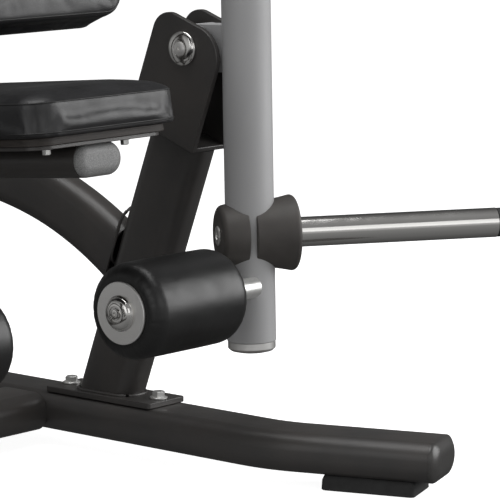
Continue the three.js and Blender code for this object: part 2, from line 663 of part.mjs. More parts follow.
// ---------- mirroring the left side to the right ----------
function mirroredGeometry(geometry) {
  const flipped = geometry.index ? geometry.toNonIndexed() : geometry.clone();
  const place = flipped.attributes.position;
  for (let i = 0; i < place.count; i += 3) {
    const corners = [0, 2, 1].map((k) => [-place.getX(i + k), place.getY(i + k), place.getZ(i + k)]);
    corners.forEach((corner, k) => place.setXYZ(i + k, ...corner));
  }
  flipped.computeVertexNormals();
  return flipped;
}

function mirrored(object) {
  const twin = object.isMesh
    ? new THREE.Mesh(mirroredGeometry(object.geometry), object.material)
    : new THREE.Group();
  twin.name = object.name.replace('_left', '_right');
  twin.position.set(-object.position.x, object.position.y, object.position.z);
  twin.rotation.set(object.rotation.x, -object.rotation.y, -object.rotation.z);
  for (const child of object.children) twin.add(mirrored(child));
  return twin;
}

// ---------- assembly ----------
const leftSide = new THREE.Group();
leftSide.add(...railParts(), ...uprightParts(), archBrace(), pivotPin(), armPin());
leftSide.add(groupAt([RAIL_X, PIVOT_Y, PIVOT_Z], [LEVER_TILT, 0, 0], ...leverParts()));
const armRise = THREE.MathUtils.degToRad(-ARM.rise);
leftSide.add(groupAt([ARM_X, FRONT_CROSS_Y, ARM_PIVOT_Z], [armRise, 0, 0], ...armParts()));

const machine = new THREE.Group();
machine.position.y = -DEPTH_CENTRE;
machine.add(leftSide, mirrored(leftSide));
machine.add(crossMember('front_cross_member', FRONT_CROSS_Y), crossMember('rear_cross_member', REAR_CROSS_Y));
machine.add(...mastParts(), ...seatParts(), ...backParts());

export default machine;
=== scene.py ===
import json
from math import cos, pi, radians, sin

import bmesh
import bpy
from mathutils import Matrix, Vector
from mathutils.bvhtree import BVHTree


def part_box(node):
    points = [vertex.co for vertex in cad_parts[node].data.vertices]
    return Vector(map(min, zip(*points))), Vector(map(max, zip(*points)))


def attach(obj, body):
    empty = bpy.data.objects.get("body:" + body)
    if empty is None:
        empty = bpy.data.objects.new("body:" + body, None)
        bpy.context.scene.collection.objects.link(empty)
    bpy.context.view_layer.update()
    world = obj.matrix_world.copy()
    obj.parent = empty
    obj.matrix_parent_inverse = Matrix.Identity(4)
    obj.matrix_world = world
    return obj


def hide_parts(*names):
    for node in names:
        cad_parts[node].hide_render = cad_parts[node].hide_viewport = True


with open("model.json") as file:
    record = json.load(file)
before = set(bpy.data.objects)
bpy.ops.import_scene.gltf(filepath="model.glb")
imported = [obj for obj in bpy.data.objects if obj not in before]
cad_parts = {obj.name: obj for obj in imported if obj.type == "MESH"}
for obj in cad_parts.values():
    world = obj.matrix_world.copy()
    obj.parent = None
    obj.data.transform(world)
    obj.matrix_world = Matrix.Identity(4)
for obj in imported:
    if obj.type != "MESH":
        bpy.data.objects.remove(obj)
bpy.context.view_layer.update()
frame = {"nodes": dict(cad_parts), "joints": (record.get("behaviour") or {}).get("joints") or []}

MM = 0.001
FRONT_CROSS_Y = 465


def centre(node):
    low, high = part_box(node)
    return (Vector(low) + Vector(high)) / 2


# ---------- driving sizes, in millimetres in the model's drawing frame ----------
# The drawing's depth is measured from a zero of its own, which the front cross member ties to the frame.
DEPTH_SHIFT = centre("front_cross_member").y / MM - FRONT_CROSS_Y
WORLD = Matrix.Scale(MM, 4) @ Matrix.Translation((0, DEPTH_SHIFT, 0))
HERE = Matrix.Identity(4)
STAND = Matrix.Rotation(-pi / 2, 4, "Y")
SIDES = ((1, "left"), (-1, "right"))
UP = Vector((0, 0, 1))
AHEAD = Vector((0, -1, 0))
LATERAL = Vector((1, 0, 0))

# Every tube section is its extent along the sweep's side, its other extent and its corner radius.
GAP = 0.3
RAIL = (120, 66, 27)
RAIL_ON_EDGE = (RAIL[1], RAIL[0], RAIL[2])
RAIL_X = 486
RAIL_REAR_Y = 1160
RAIL_BEND_Y = -58
RAIL_BEND_RADIUS = 260
SPLAY = radians(19.5)
SPLAY_LENGTH = 276
REAR_CROSS_Y = 1090
FOOT_WIDTH, FOOT_LENGTH, FOOT_HEIGHT = 84, 158, 25
FRONT_FOOT_SETBACK, REAR_FOOT_SETBACK = 27, 6
RAIL_MID_Z = FOOT_HEIGHT + RAIL[1] / 2
RAIL_TOP = FOOT_HEIGHT + RAIL[1]

UPRIGHT = (65, 115, 28)
LEAN = radians(20.3)
UPRIGHT_LENGTH = 476
FLANGE_THICKNESS = 10
FLANGE = (90, 240, 5)
FLANGE_SHIFT = -5
FLANGE_BOLT_SPREAD = 101
FLANGE_TOP = RAIL_TOP + FLANGE_THICKNESS + GAP
UPRIGHT_BASE = Vector((RAIL_X, 306, FLANGE_TOP))
UPRIGHT_PLACE = Matrix.Translation(UPRIGHT_BASE) @ Matrix.Rotation(LEAN, 4, "X")
CLEVIS_FRONT, CLEVIS_REAR = -58, 91
CLEVIS_BOTTOM, CLEVIS_TOP = 477, 675
CLEVIS_TOE, CLEVIS_HEEL = 52, 36
CLEVIS_SOLE = 8
CLEVIS_HALF = 34
CHEEK = 10
PIN_RADIUS = 15
PIN_CAP_RADIUS, PIN_CAP_HEIGHT, PIN_BUTTON_RADIUS = 28.5, 10, 11.5
ARCH = (65, 100, 28)
# The arch's centre line, as the (y, z) control points of the two curves that meet at its apex.
ARCH_RISE = ((268, 330), (395, 425), (560, 455))
ARCH_FALL = ((560, 455), (790, 478), (930, 330), (1010, 60))
# The line where it meets the upright, in the leaning upright's own frame.
ARCH_JOINT = (60, 108, 28)
ARCH_JOINT_CENTRE = Vector((0, 57.5, 268))
WELD_STEP, WELD_RADIUS = 3.5, 3.4
ARCH_WELD_STEP, ARCH_WELD_RADIUS = 3.4, 3.0

LEVER_RADIUS = 40
LEVER_Y = -99
LEVER_TILT = radians(-1.3)
LEVER_BOTTOM, LEVER_TOP = -491, 104
HUB_RADIUS, HUB_HALF = 38, 31
HORN_ANGLE = radians(36.2)
HORN_Z = -301
HORN_RADIUS = 24.5
HORN_END = 418
ROLLER_RADIUS, ROLLER_LENGTH, ROLLER_INNER = 76, 222, -337.5
ROLLER_Y, ROLLER_Z = -127, -382.5
AXLE_RADIUS = 17

MAST_TOP = 1930
HEAD_HALF = 290
STRUT = (60, 100, 24)
STRUT_TOP = 1100
ARM = (50, 80, 18)
ARM_X, ARM_Z = 340, 1964
ARM_FRONT, ARM_REAR = 600, 400
ARM_RISE = radians(-15)
ARM_HUB_RADIUS, ARM_HUB_HALF = 46, 38
ARM_PIN_RADIUS = 20
GRIP_LENGTH = 150
HANDLE_RADIUS, HANDLE_START = 14, 20
HANDLE_SETBACK = 50
ARM_HORN_Y = 350
ARM_HORN_START, ARM_HORN_END = 25, 345.3

SEAT = {"width": 320, "depth": 420, "corner": 44}
SEAT_FRONT_Y = -157
SEAT_TILT = radians(5)
SEAT_PLACE = Matrix.Translation((0, SEAT_FRONT_Y, 624)) @ Matrix.Rotation(-SEAT_TILT, 4, "X")
SEAT_BEAM = (98, 50, 24)
SEAT_BEAM_START = 42
SEAT_STEEL = 6
SEAT_SEAMS = (("top", 50), ("bottom", 7))
SEAT_SCREW_X, SEAT_SCREW_ROWS = 83, ((60, "front"), (360, "rear"))
BOARD = 12
BOARD_INSET = 16
STEEL_INSET = 23
BACK = {"width": 400, "depth": 620, "corner": 54}
BACK_THICKNESS = 77
BACK_PLATE = 8
BACK_SEAMS = (("top", 68), ("bottom", 7))
BACK_BOLT_X, BACK_BOLT_ROWS = 70, ((190, "low"), (390, "high"))
BACK_PLACE = Matrix.Translation((0, -18, 774)) @ Matrix.Rotation(radians(-19), 4, "X")
BACK_FACE = Matrix.Translation((0, BACK_THICKNESS, 0)) @ Matrix.Rotation(radians(90), 4, "X")


# ---------- shapes: each is a pair of vertex and face lists, in millimetres ----------
def merged(*shapes):
    verts, faces = [], []
    for shape_verts, shape_faces in shapes:
        start = len(verts)
        verts += shape_verts
        faces += [[start + i for i in face] for face in shape_faces]
    return verts, faces


def moved(shape, matrix):
    return [matrix @ v for v in shape[0]], shape[1]


def loft(rings, caps=True):
    """Skins a list of equal rings, with flat ends when caps is true."""
    count = len(rings[0])
    verts = [v for ring in rings for v in ring]
    faces = []
    for r in range(len(rings) - 1):
        for i in range(count):
            j = (i + 1) % count
            faces.append([r * count + i, r * count + j, (r + 1) * count + j, (r + 1) * count + i])
    if caps:
        last = (len(rings) - 1) * count
        faces.append(list(range(count))[::-1])
        faces.append([last + i for i in range(count)])
    return verts, faces


def block(x, y, z):
    """A rectangular block; x, y and z are each a pair of limits."""
    corners = ((x[0], y[0]), (x[1], y[0]), (x[1], y[1]), (x[0], y[1]))
    return loft([[Vector((a, b, height)) for a, b in corners] for height in z])


def oval(width, height, corner, steps=8):
    """Outline of a round-cornered oblong, anticlockwise from the right-hand top corner."""
    points = []
    for quarter, (side_x, side_y) in enumerate(((1, 1), (-1, 1), (-1, -1), (1, -1))):
        for i in range(steps + 1):
            angle = (quarter + i / steps) * pi / 2
            x = side_x * (width / 2 - corner) + corner * cos(angle)
            y = side_y * (height / 2 - corner) + corner * sin(angle)
            points.append((x, y))
    return points


def ring_at(station, tangent, side, outline):
    """The outline's first axis lies along side, and its second square to side and tangent."""
    across = side.normalized()
    second = tangent.cross(across).normalized()
    return [station + across * x + second * y for x, y in outline]


def sweep(stations, side, section, wall=4.0):
    """An open-ended tube with a wall through the stations; section is (along side, other way, corner)."""
    width, height, corner = section
    outer, inner = [], []
    for i, station in enumerate(stations):
        ahead = stations[min(i + 1, len(stations) - 1)]
        behind = stations[max(i - 1, 0)]
        tangent = (ahead - behind).normalized()
        outer.append(ring_at(station, tangent, side, oval(width, height, corner)))
        inner_outline = oval(width - 2 * wall, height - 2 * wall, corner - wall)
        inner.append(ring_at(station, tangent, side, inner_outline))
    rings = outer + inner[::-1] + [outer[0]]
    verts, faces = loft(rings[:-1], caps=False)
    count = len(outer[0])
    last = (len(rings) - 2) * count
    faces += [[last + i, last + (i + 1) % count, (i + 1) % count, i] for i in range(count)]
    return verts, faces


def turned(profile, sides=72):
    """A solid turned about X; the profile lists (x, radius) and starts and ends on the axis."""
    verts = [Vector((profile[0][0], 0, 0))]
    rings = profile[1:-1]
    for x, radius in rings:
        verts += [Vector((x, radius * cos(2 * pi * i / sides), radius * sin(2 * pi * i / sides)))
                  for i in range(sides)]
    verts.append(Vector((profile[-1][0], 0, 0)))
    faces = [[0, 1 + (i + 1) % sides, 1 + i] for i in range(sides)]
    for r in range(len(rings) - 1):
        a, b = 1 + r * sides, 1 + (r + 1) * sides
        faces += [[a + i, a + (i + 1) % sides, b + (i + 1) % sides, b + i] for i in range(sides)]
    a, tip = 1 + (len(rings) - 1) * sides, len(verts) - 1
    faces += [[a + i, a + (i + 1) % sides, tip] for i in range(sides)]
    return verts, faces


def arc(x, radius, size, start, stop, steps=8):
    """Round-over points for a turned profile, as (x, radius) pairs; angles in degrees."""
    angles = [radians(start + (stop - start) * i / steps) for i in range(steps + 1)]
    return [(x + size * cos(a), radius + size * sin(a)) for a in angles]


def rod(radius, start, stop, sides=48, edge=1.0):
    return turned([(start, 0), (start, radius - edge), (start + edge, radius), (stop - edge, radius),
                   (stop, radius - edge), (stop, 0)], sides)


def slab(outline, thickness, x=0.0):
    """A plate: the outline is drawn in (y, z), and its middle plane is at x."""
    rings = [[Vector((x + s * thickness / 2, y, z)) for y, z in outline] for s in (-1, 1)]
    return loft(rings)


def hexagon(radius, start, stop):
    """A hex bolt head about X with a chamfered, slightly domed top."""
    def ring(x, r):
        return [Vector((x, r * cos(pi * i / 3), r * sin(pi * i / 3))) for i in range(6)]
    return loft([ring(start, radius), ring(stop - 1.2, radius), ring(stop, radius - 1.6)])


def tangent_at(points, i):
    return (points[min(i + 1, len(points) - 1)] - points[max(i - 1, 0)]).normalized()


def octagon(radius):
    return [(radius * cos(pi * k / 4), radius * sin(pi * k / 4)) for k in range(8)]


def weld_bead(points, radius):
    """A rippled bead of weld that follows the points."""
    rings = []
    for i, point in enumerate(points):
        tangent = tangent_at(points, i)
        outline = octagon(radius * (1.0 if i % 2 else 0.82))
        rings.append(ring_at(point, tangent, tangent.orthogonal().normalized(), outline))
    return loft(rings)


def round_cord(points, radius):
    """A thin round cord along the points."""
    outline = octagon(radius)
    return loft([ring_at(p, tangent_at(points, i), UP, outline) for i, p in enumerate(points)])


def spread(points, step):
    """Points a step apart along a line of points."""
    result = [points[0]]
    for a, b in zip(points, points[1:]):
        count = max(1, int((b - a).length / step))
        result += [a.lerp(b, (k + 1) / count) for k in range(count)]
    return result


# ---------- putting pieces into the scene ----------
def face_outward(mesh):
    build = bmesh.new()
    build.from_mesh(mesh)
    bmesh.ops.recalc_face_normals(build, faces=build.faces)
    build.to_mesh(mesh)
    build.free()
    mesh.update()


def placed(name, shape, place, side):
    """A linked object of the shape; side is -1 for the mirrored copy on the user's right."""
    mirror = Matrix.Scale(-1, 4, LATERAL) if side < 0 else HERE
    matrix = mirror @ WORLD @ place
    mesh = bpy.data.meshes.new(name)
    mesh.from_pydata([matrix @ v for v in shape[0]], [], shape[1])
    mesh.validate()
    face_outward(mesh)
    obj = bpy.data.objects.new(name, mesh)
    bpy.context.scene.collection.objects.link(obj)
    return obj


def soften(mesh, angle):
    mesh.shade_smooth()
    mesh.set_sharp_from_angle(angle=radians(angle))


def piece(name, shape, place, body, finish, slot_name, replaces=(), side=1, bevel=0.0, angle=32):
    obj = placed(name, shape, place, side)
    soften(obj.data, angle)
    obj.data.materials.append(finish)
    if bevel:
        edge = obj.modifiers.new("edge", "BEVEL")
        edge.width = bevel * MM
        edge.segments = 3
        edge.limit_method = "ANGLE"
        edge.angle_limit = radians(40)
        edge.harden_normals = True
    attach(obj, body)
    if replaces:
        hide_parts(*replaces)
    return obj


def painted(name, shape, place=HERE, nodes=(), side=1, **looks):
    """A piece of the frame in its own paint."""
    return piece(name, shape, place, "frame", FRAME, "frame_paint", nodes, side, **looks)


def weld(name, points, place=HERE, side=1, step=WELD_STEP, radius=WELD_RADIUS):
    """A bead of weld round a closed line of points."""
    painted(name, weld_bead(spread(points + points[:1], step), radius), place, side=side, angle=60)


def evaluated_mesh(obj):
    depsgraph = bpy.context.evaluated_depsgraph_get()
    return bpy.data.meshes.new_from_object(obj.evaluated_get(depsgraph))


def cut(obj, shape, place, side=1):
    """Takes a shape out of a piece; the shape reaches well past the piece wherever it isn't the cut."""
    cutter = placed("cutter", shape, place, side)
    modifier = obj.modifiers.new("cut", "BOOLEAN")
    modifier.operation = "DIFFERENCE"
    modifier.solver = "EXACT"
    modifier.object = cutter
    obj.modifiers.move(len(obj.modifiers) - 1, 0)
    kept = [m for m in obj.modifiers if m != modifier]
    for m in kept:
        m.show_viewport = False
    result = evaluated_mesh(obj)
    for m in kept:
        m.show_viewport = True
    obj.modifiers.remove(modifier)
    obj.data = result
    soften(result, 32)
    bpy.data.objects.remove(cutter)


# ---------- materials ----------
class Finish:
    """A node material built step by step round one Principled shader."""

    def __init__(self, name, color, roughness, metallic=0.0, **sockets):
        self.material = bpy.data.materials.new(name)
        self.material.use_nodes = True
        self.nodes = self.material.node_tree.nodes
        self.links = self.material.node_tree.links
        self.shader = self.nodes["Principled BSDF"]
        self.shader.inputs["Base Color"].default_value = (*color, 1)
        self.shader.inputs["Roughness"].default_value = roughness
        self.shader.inputs["Metallic"].default_value = metallic
        for socket, value in sockets.items():
            self.shader.inputs[socket.replace("_", " ")].default_value = value
        self.coords = self.nodes.new("ShaderNodeTexCoord").outputs["Object"]
        self.height = None

    def noise(self, scale, detail=3.0, stretch=(1, 1, 1)):
        mapping = self.nodes.new("ShaderNodeMapping")
        mapping.inputs["Scale"].default_value = stretch
        self.links.new(self.coords, mapping.inputs["Vector"])
        noise = self.nodes.new("ShaderNodeTexNoise")
        noise.inputs["Scale"].default_value = scale
        noise.inputs["Detail"].default_value = detail
        self.links.new(mapping.outputs["Vector"], noise.inputs["Vector"])
        return noise.outputs["Fac"]

    def cells(self, scale, feature="F1"):
        cells = self.nodes.new("ShaderNodeTexVoronoi")
        cells.feature = feature
        cells.inputs["Scale"].default_value = scale
        self.links.new(self.coords, cells.inputs["Vector"])
        return cells.outputs["Distance"]

    def ramp(self, source, low, high, start=0.3, stop=0.7):
        ramp = self.nodes.new("ShaderNodeMapRange")
        ramp.inputs["From Min"].default_value = start
        ramp.inputs["From Max"].default_value = stop
        ramp.inputs["To Min"].default_value = low
        ramp.inputs["To Max"].default_value = high
        self.links.new(source, ramp.inputs["Value"])
        return ramp.outputs["Result"]

    def vary_roughness(self, source, low, high):
        self.links.new(self.ramp(source, low, high), self.shader.inputs["Roughness"])
        return self

    def vary_color(self, source, dark, light, start=0.3, stop=0.7):
        mix = self.nodes.new("ShaderNodeMix")
        mix.data_type = "RGBA"
        mix.inputs["A"].default_value = (*dark, 1)
        mix.inputs["B"].default_value = (*light, 1)
        self.links.new(self.ramp(source, 0, 1, start, stop), mix.inputs["Factor"])
        self.links.new(mix.outputs["Result"], self.shader.inputs["Base Color"])
        return self

    def bump(self, source, strength, distance):
        bump = self.nodes.new("ShaderNodeBump")
        bump.inputs["Strength"].default_value = strength
        bump.inputs["Distance"].default_value = distance
        self.links.new(source, bump.inputs["Height"])
        if self.height is not None:
            self.links.new(self.height, bump.inputs["Normal"])
        self.height = bump.outputs["Normal"]
        self.links.new(self.height, self.shader.inputs["Normal"])
        return self


def powder_coat():
    f = Finish("powder_coat", (0.05, 0.047, 0.045), 0.42, 0.0, Coat_Weight=0.3, Coat_Roughness=0.34)
    f.vary_color(f.noise(9, 4), (0.042, 0.04, 0.039), (0.06, 0.054, 0.05))
    f.vary_roughness(f.noise(14, 3), 0.36, 0.48)
    f.bump(f.noise(1400, 2), 0.18, 0.0003)
    return f.bump(f.noise(420, 2), 0.12, 0.0004).material


def silver_lacquer():
    f = Finish("silver_lacquer", (0.5, 0.5, 0.505), 0.7, 0.35, Coat_Weight=0.08, Coat_Roughness=0.4)
    f.vary_color(f.noise(2600, 2), (0.46, 0.46, 0.465), (0.54, 0.54, 0.545))
    f.vary_roughness(f.noise(6, 4), 0.64, 0.74)
    return f.bump(f.noise(1800, 1), 0.08, 0.0002).material


def polished_chrome():
    f = Finish("polished_chrome", (0.72, 0.71, 0.69), 0.12, 1.0)
    f.vary_roughness(f.noise(60, 4, (0.15, 1, 1)), 0.09, 0.17)
    return f.bump(f.noise(900, 2, (0.05, 1, 1)), 0.05, 0.0002).material


def bright_steel():
    f = Finish("bright_steel", (0.92, 0.91, 0.89), 0.33, 0.85)
    f.vary_roughness(f.noise(60, 4, (0.15, 1, 1)), 0.28, 0.38)
    return f.bump(f.noise(900, 2, (1, 1, 0.05)), 0.05, 0.0002).material


def zinc_plate():
    f = Finish("zinc_plate", (0.85, 0.85, 0.83), 0.4, 0.85)
    f.vary_color(f.noise(90, 4), (0.78, 0.78, 0.76), (0.92, 0.92, 0.9))
    f.vary_roughness(f.noise(240, 3), 0.34, 0.46)
    return f.bump(f.noise(1500, 2), 0.1, 0.0002).material


def moulded_plastic():
    f = Finish("moulded_plastic", (0.075, 0.069, 0.064), 0.55)
    f.vary_color(f.noise(22, 4), (0.064, 0.058, 0.054), (0.086, 0.079, 0.073))
    f.bump(f.cells(1500), 0.2, 0.0003)
    return f.bump(f.noise(500, 3), 0.12, 0.0003).material


def grained_cap():
    f = Finish("grained_cap", (0.26, 0.26, 0.258), 0.36)
    f.vary_color(f.noise(700, 3), (0.16, 0.16, 0.16), (0.36, 0.36, 0.358))
    return f.bump(f.cells(900), 0.5, 0.0006).material


def smooth_plug():
    f = Finish("smooth_plug", (0.06, 0.058, 0.056), 0.3)
    f.vary_color(f.noise(500, 3), (0.05, 0.048, 0.046), (0.07, 0.068, 0.066))
    return f.bump(f.cells(900), 0.2, 0.0003).material


def foot_rubber():
    f = Finish("foot_rubber", (0.03, 0.03, 0.03), 0.75)
    f.vary_color(f.noise(60, 4), (0.025, 0.025, 0.025), (0.036, 0.036, 0.036))
    return f.bump(f.noise(800, 4), 0.25, 0.0004).material


def leather_grain(name, color, roughness, grain, depth):
    """Vinyl with the pebbled skin of pressed leather; grain is the number of cells in a metre."""
    f = Finish(name, color, roughness, 0.0, Coat_Weight=0.06, Coat_Roughness=0.38)
    dark = tuple(c * 0.8 for c in color)
    light = tuple(c * 1.3 for c in color)
    f.vary_color(f.noise(16, 5), dark, light)
    f.vary_roughness(f.noise(30, 4), roughness - 0.05, roughness + 0.06)
    f.bump(f.noise(26, 3), 0.12, 0.004)
    return f.bump(f.cells(grain, "DISTANCE_TO_EDGE"), 0.3, depth).material


def stained_board():
    f = Finish("stained_board", (0.03, 0.025, 0.021), 0.6)
    f.vary_color(f.noise(140, 5, (0.2, 0.2, 6)), (0.018, 0.015, 0.013), (0.05, 0.04, 0.034))
    return f.bump(f.noise(300, 4, (0.3, 0.3, 4)), 0.3, 0.0005).material


FRAME = powder_coat()
SILVER = silver_lacquer()
CHROME = polished_chrome()
ZINC = zinc_plate()
BRIGHT = bright_steel()
COLLAR = moulded_plastic()
CAP = grained_cap()
PLUG = smooth_plug()
RUBBER = foot_rubber()
ROLLER_SKIN = leather_grain("roller_vinyl", (0.011, 0.011, 0.011), 0.36, 1500, 0.0002)
PAD_SKIN = leather_grain("pad_vinyl", (0.014, 0.014, 0.015), 0.4, 1100, 0.0003)
SEAM = leather_grain("seam_cord", (0.012, 0.012, 0.012), 0.5, 1800, 0.0002)
PLY = stained_board()


# ---------- base ----------
def rail_stations():
    trim = RAIL_BEND_RADIUS * sin(SPLAY / 2) / cos(SPLAY / 2)
    ahead = Vector((sin(SPLAY), -cos(SPLAY), 0))
    bend = Vector((RAIL_X, RAIL_BEND_Y, RAIL_MID_Z))
    start = bend + Vector((0, trim, 0))
    stop = bend + ahead * trim
    curve = []
    for i in range(17):
        t = i / 16
        curve.append(start * (1 - t) ** 2 + bend * 2 * t * (1 - t) + stop * t ** 2)
    rear = Vector((RAIL_X, RAIL_REAR_Y, RAIL_MID_Z))
    return [rear, *curve, bend + ahead * SPLAY_LENGTH], ahead


def tube_plug(width, height, corner, thickness=14, dome=24):
    """A moulded end cap with a domed outer face; it grows along +X from x = 0."""
    rings = [(0.0, 0.0), (1.5, 0.0)]
    for i in range(1, 11):
        angle = i / 10 * pi / 2
        rings.append((1.5 + (thickness - 1.5) * sin(angle), dome * (1 - cos(angle)) ** 0.9))
    result = []
    for x, inset in rings:
        least = min(width, height) / 2 - inset
        outline = oval(width - 2 * inset, height - 2 * inset, min(corner, least * 0.999))
        result.append([Vector((x, y, z)) for y, z in outline])
    return loft(result)


def pad_foot(width, length, height):
    """A rubber block with drafted sides, standing on z = 0."""
    rings = []
    for z, inset in ((0, 1.5), (1.5, 0), (height * 0.7, 0.8), (height - 1.5, 3.0), (height, 4.5)):
        outline = oval(width - 2 * inset, length - 2 * inset, 7, 4)
        rings.append([Vector((x, y, z)) for x, y in outline])
    return loft(rings)


def facing(point, direction):
    """Places a shape built along +X at a point, looking along a level or leaning direction."""
    rotation = direction.to_track_quat("X", "Z").to_matrix().to_4x4()
    return Matrix.Translation(point) @ rotation


def build_base():
    stations, ahead = rail_stations()
    for side, label in SIDES:
        rail = sweep(stations, UP, RAIL_ON_EDGE)
        painted(f"rail_{label}", rail, HERE, [f"side_rail_{label}"], side)
        cap_place = facing(stations[-1] + ahead * GAP, ahead)
        piece(f"rail_nose_{label}", tube_plug(*RAIL), cap_place, "frame", PLUG, "tube_end_cap",
              [f"rail_cap_{label}"], side)
        tail = facing(stations[0] + AHEAD * 10, -AHEAD)
        piece(f"rail_tail_plug_{label}", tube_plug(RAIL[0] - 9, RAIL[1] - 9, 22, 9, 4), tail, "frame", CAP,
              "tube_end_cap", side=side)
        foot = pad_foot(FOOT_WIDTH, FOOT_LENGTH, FOOT_HEIGHT - GAP)
        foot_mid = stations[-1] - ahead * (FRONT_FOOT_SETBACK + FOOT_LENGTH / 2)
        foot_place = Matrix.Translation((foot_mid.x, foot_mid.y, 0)) @ Matrix.Rotation(SPLAY, 4, "Z")
        piece(f"front_pad_{label}", foot, foot_place, "frame", RUBBER, "foot_rubber", [f"front_foot_{label}"],
              side, angle=25)
        rear_place = Matrix.Translation((RAIL_X, RAIL_REAR_Y - REAR_FOOT_SETBACK - FOOT_LENGTH / 2, 0))
        piece(f"rear_pad_{label}", foot, rear_place, "frame", RUBBER, "foot_rubber", [f"rear_foot_{label}"],
              side, angle=25)
    inner_face = RAIL_X - RAIL[0] / 2
    for name, y in (("front_cross_member", FRONT_CROSS_Y), ("rear_cross_member", REAR_CROSS_Y)):
        ends = [Vector((s * inner_face, y, RAIL_MID_Z)) for s in (-1, 1)]
        tube = sweep(ends, -AHEAD, RAIL)
        painted(name.replace("member", "tube"), tube, HERE, [name])


# ---------- side uprights, clevises and braces ----------
def hex_bolt(radius=11, washer=15):
    """A hex head on a washer, standing along +X."""
    flat = turned([(0, 0), (0, washer - 0.6), (0.6, washer), (2.4, washer), (3, washer - 0.6), (3, 0)], 40)
    return merged(flat, hexagon(radius, 3, 12.6))


def clevis_outline():
    """A side plate with round top corners, drawn in the leaning upright's own (y, z)."""
    toe, heel = CLEVIS_TOE, CLEVIS_HEEL
    points = [(CLEVIS_REAR, CLEVIS_BOTTOM), (CLEVIS_FRONT, CLEVIS_BOTTOM)]
    for i in range(25):
        angle = pi - pi / 2 * i / 24
        points.append((CLEVIS_FRONT + toe + toe * cos(angle), CLEVIS_TOP - toe + toe * sin(angle)))
    for i in range(19):
        angle = pi / 2 * (1 - i / 18)
        points.append((CLEVIS_REAR - heel + heel * cos(angle), CLEVIS_TOP - heel + heel * sin(angle)))
    return points[::-1]


def build_uprights():
    for side, label in SIDES:
        tube = sweep([Vector((0, 0, z)) for z in (-12, UPRIGHT_LENGTH)], LATERAL, UPRIGHT)
        upright = painted(f"upright_{label}", tube, UPRIGHT_PLACE, [f"side_upright_{label}"], side)
        cut(upright, block((300, 700), (0, 600), (0, UPRIGHT_BASE.z - 5)), HERE, side)
        flange_line = [(x, y + FLANGE_SHIFT) for x, y in oval(*FLANGE)]
        flange = loft([[Vector((x, y, z)) for x, y in flange_line] for z in (-FLANGE_THICKNESS, 0)])
        flange_place = Matrix.Translation(UPRIGHT_BASE)
        painted(f"upright_flange_{label}", flange, flange_place, side=side, bevel=1.5)
        foot_line = oval(UPRIGHT[0] + 3, (UPRIGHT[1] + 3) / cos(LEAN), UPRIGHT[2])
        weld(f"upright_weld_{label}", [UPRIGHT_BASE + Vector((x, y, 1)) for x, y in foot_line], HERE, side)
        for name, y in (("front", -FLANGE_BOLT_SPREAD), ("rear", FLANGE_BOLT_SPREAD)):
            place = facing(UPRIGHT_BASE + Vector((0, y + FLANGE_SHIFT, GAP)), UP)
            piece(f"bolt_{name}_{label}", hex_bolt(), place, "frame", ZINC, "zinc_steel",
                  [f"flange_bolt_{name}_{label}"], side)
        cheek_x = UPRIGHT[0] / 2 + CHEEK / 2 + GAP
        across = (-CLEVIS_HALF, CLEVIS_HALF)
        web = block(across, (CLEVIS_REAR - 14, CLEVIS_REAR - 4), (CLEVIS_TOP - 130, CLEVIS_TOP - 34))
        sole = block(across, (CLEVIS_FRONT, CLEVIS_REAR), (CLEVIS_BOTTOM, CLEVIS_BOTTOM + CLEVIS_SOLE))
        cheeks = [slab(clevis_outline(), CHEEK, x) for x in (-cheek_x, cheek_x)]
        plates = merged(*cheeks, web, sole)
        painted(f"clevis_{label}", plates, UPRIGHT_PLACE, [f"pivot_clevis_{label}"], side, bevel=1.6)
        build_pivot_pin(side, label)
        build_arch(side, label)


def pivot_matrix(side_label):
    joint = next(j for j in frame["joints"] if j["name"] == f"lever_swing_{side_label}")
    pos = Vector(joint["pos_m"]) / MM
    return Matrix.Translation((abs(pos.x), pos.y - DEPTH_SHIFT, pos.z))


def domed_cap(radius, height, button):
    """A turned cap: a shallow dome with a round button screw at its centre, growing along +X."""
    profile = [(0, 0), (0, radius - 0.6), (0.6, radius), (height * 0.25, radius)]
    for i in range(1, 13):
        fall = i / 12 * pi / 2
        inset = (radius - button - 1.5) * (1 - cos(fall))
        profile.append((height * (0.25 + 0.6 * sin(fall)), radius - inset))
    rim = height * 0.85
    profile += [(rim - 0.8, button + 0.6), (rim - 0.8, 0)]
    screw = [(rim - 0.8, 0), (rim - 0.8, button), (rim + 0.8, button), (rim + 1.5, button - 0.8)]
    screw += [(rim + 2.2, button * 0.6), (rim + 2.2, button * 0.3)]
    screw += [(rim - 0.5, button * 0.28), (rim - 0.5, 0)]
    return turned(profile, 96), turned(screw, 64)


def build_pivot_pin(side, label):
    place = pivot_matrix(label)
    face = UPRIGHT[0] / 2 + CHEEK + 2 * GAP
    cap, screw = domed_cap(PIN_CAP_RADIUS, PIN_CAP_HEIGHT, PIN_BUTTON_RADIUS)
    outward = Matrix.Translation((face, 0, 0))
    ways = [outward, Matrix.Rotation(pi, 4, "Z") @ outward]
    caps = [moved(cap, way) for way in ways]
    shaft = rod(PIN_RADIUS, -face, face)
    piece(f"pivot_pin_{label}", merged(shaft, *caps), place, "frame", CHROME, "chrome",
          [f"lever_pivot_pin_{label}"], side, angle=28)
    screws = [moved(screw, way) for way in ways]
    piece(f"pivot_screws_{label}", merged(*screws), place, "frame", BRIGHT, "chrome", side=side, angle=28)


def bezier(points, steps):
    result = []
    for i in range(steps + 1):
        row = list(points)
        while len(row) > 1:
            row = [a.lerp(b, i / steps) for a, b in zip(row, row[1:])]
        result.append(row[0])
    return result


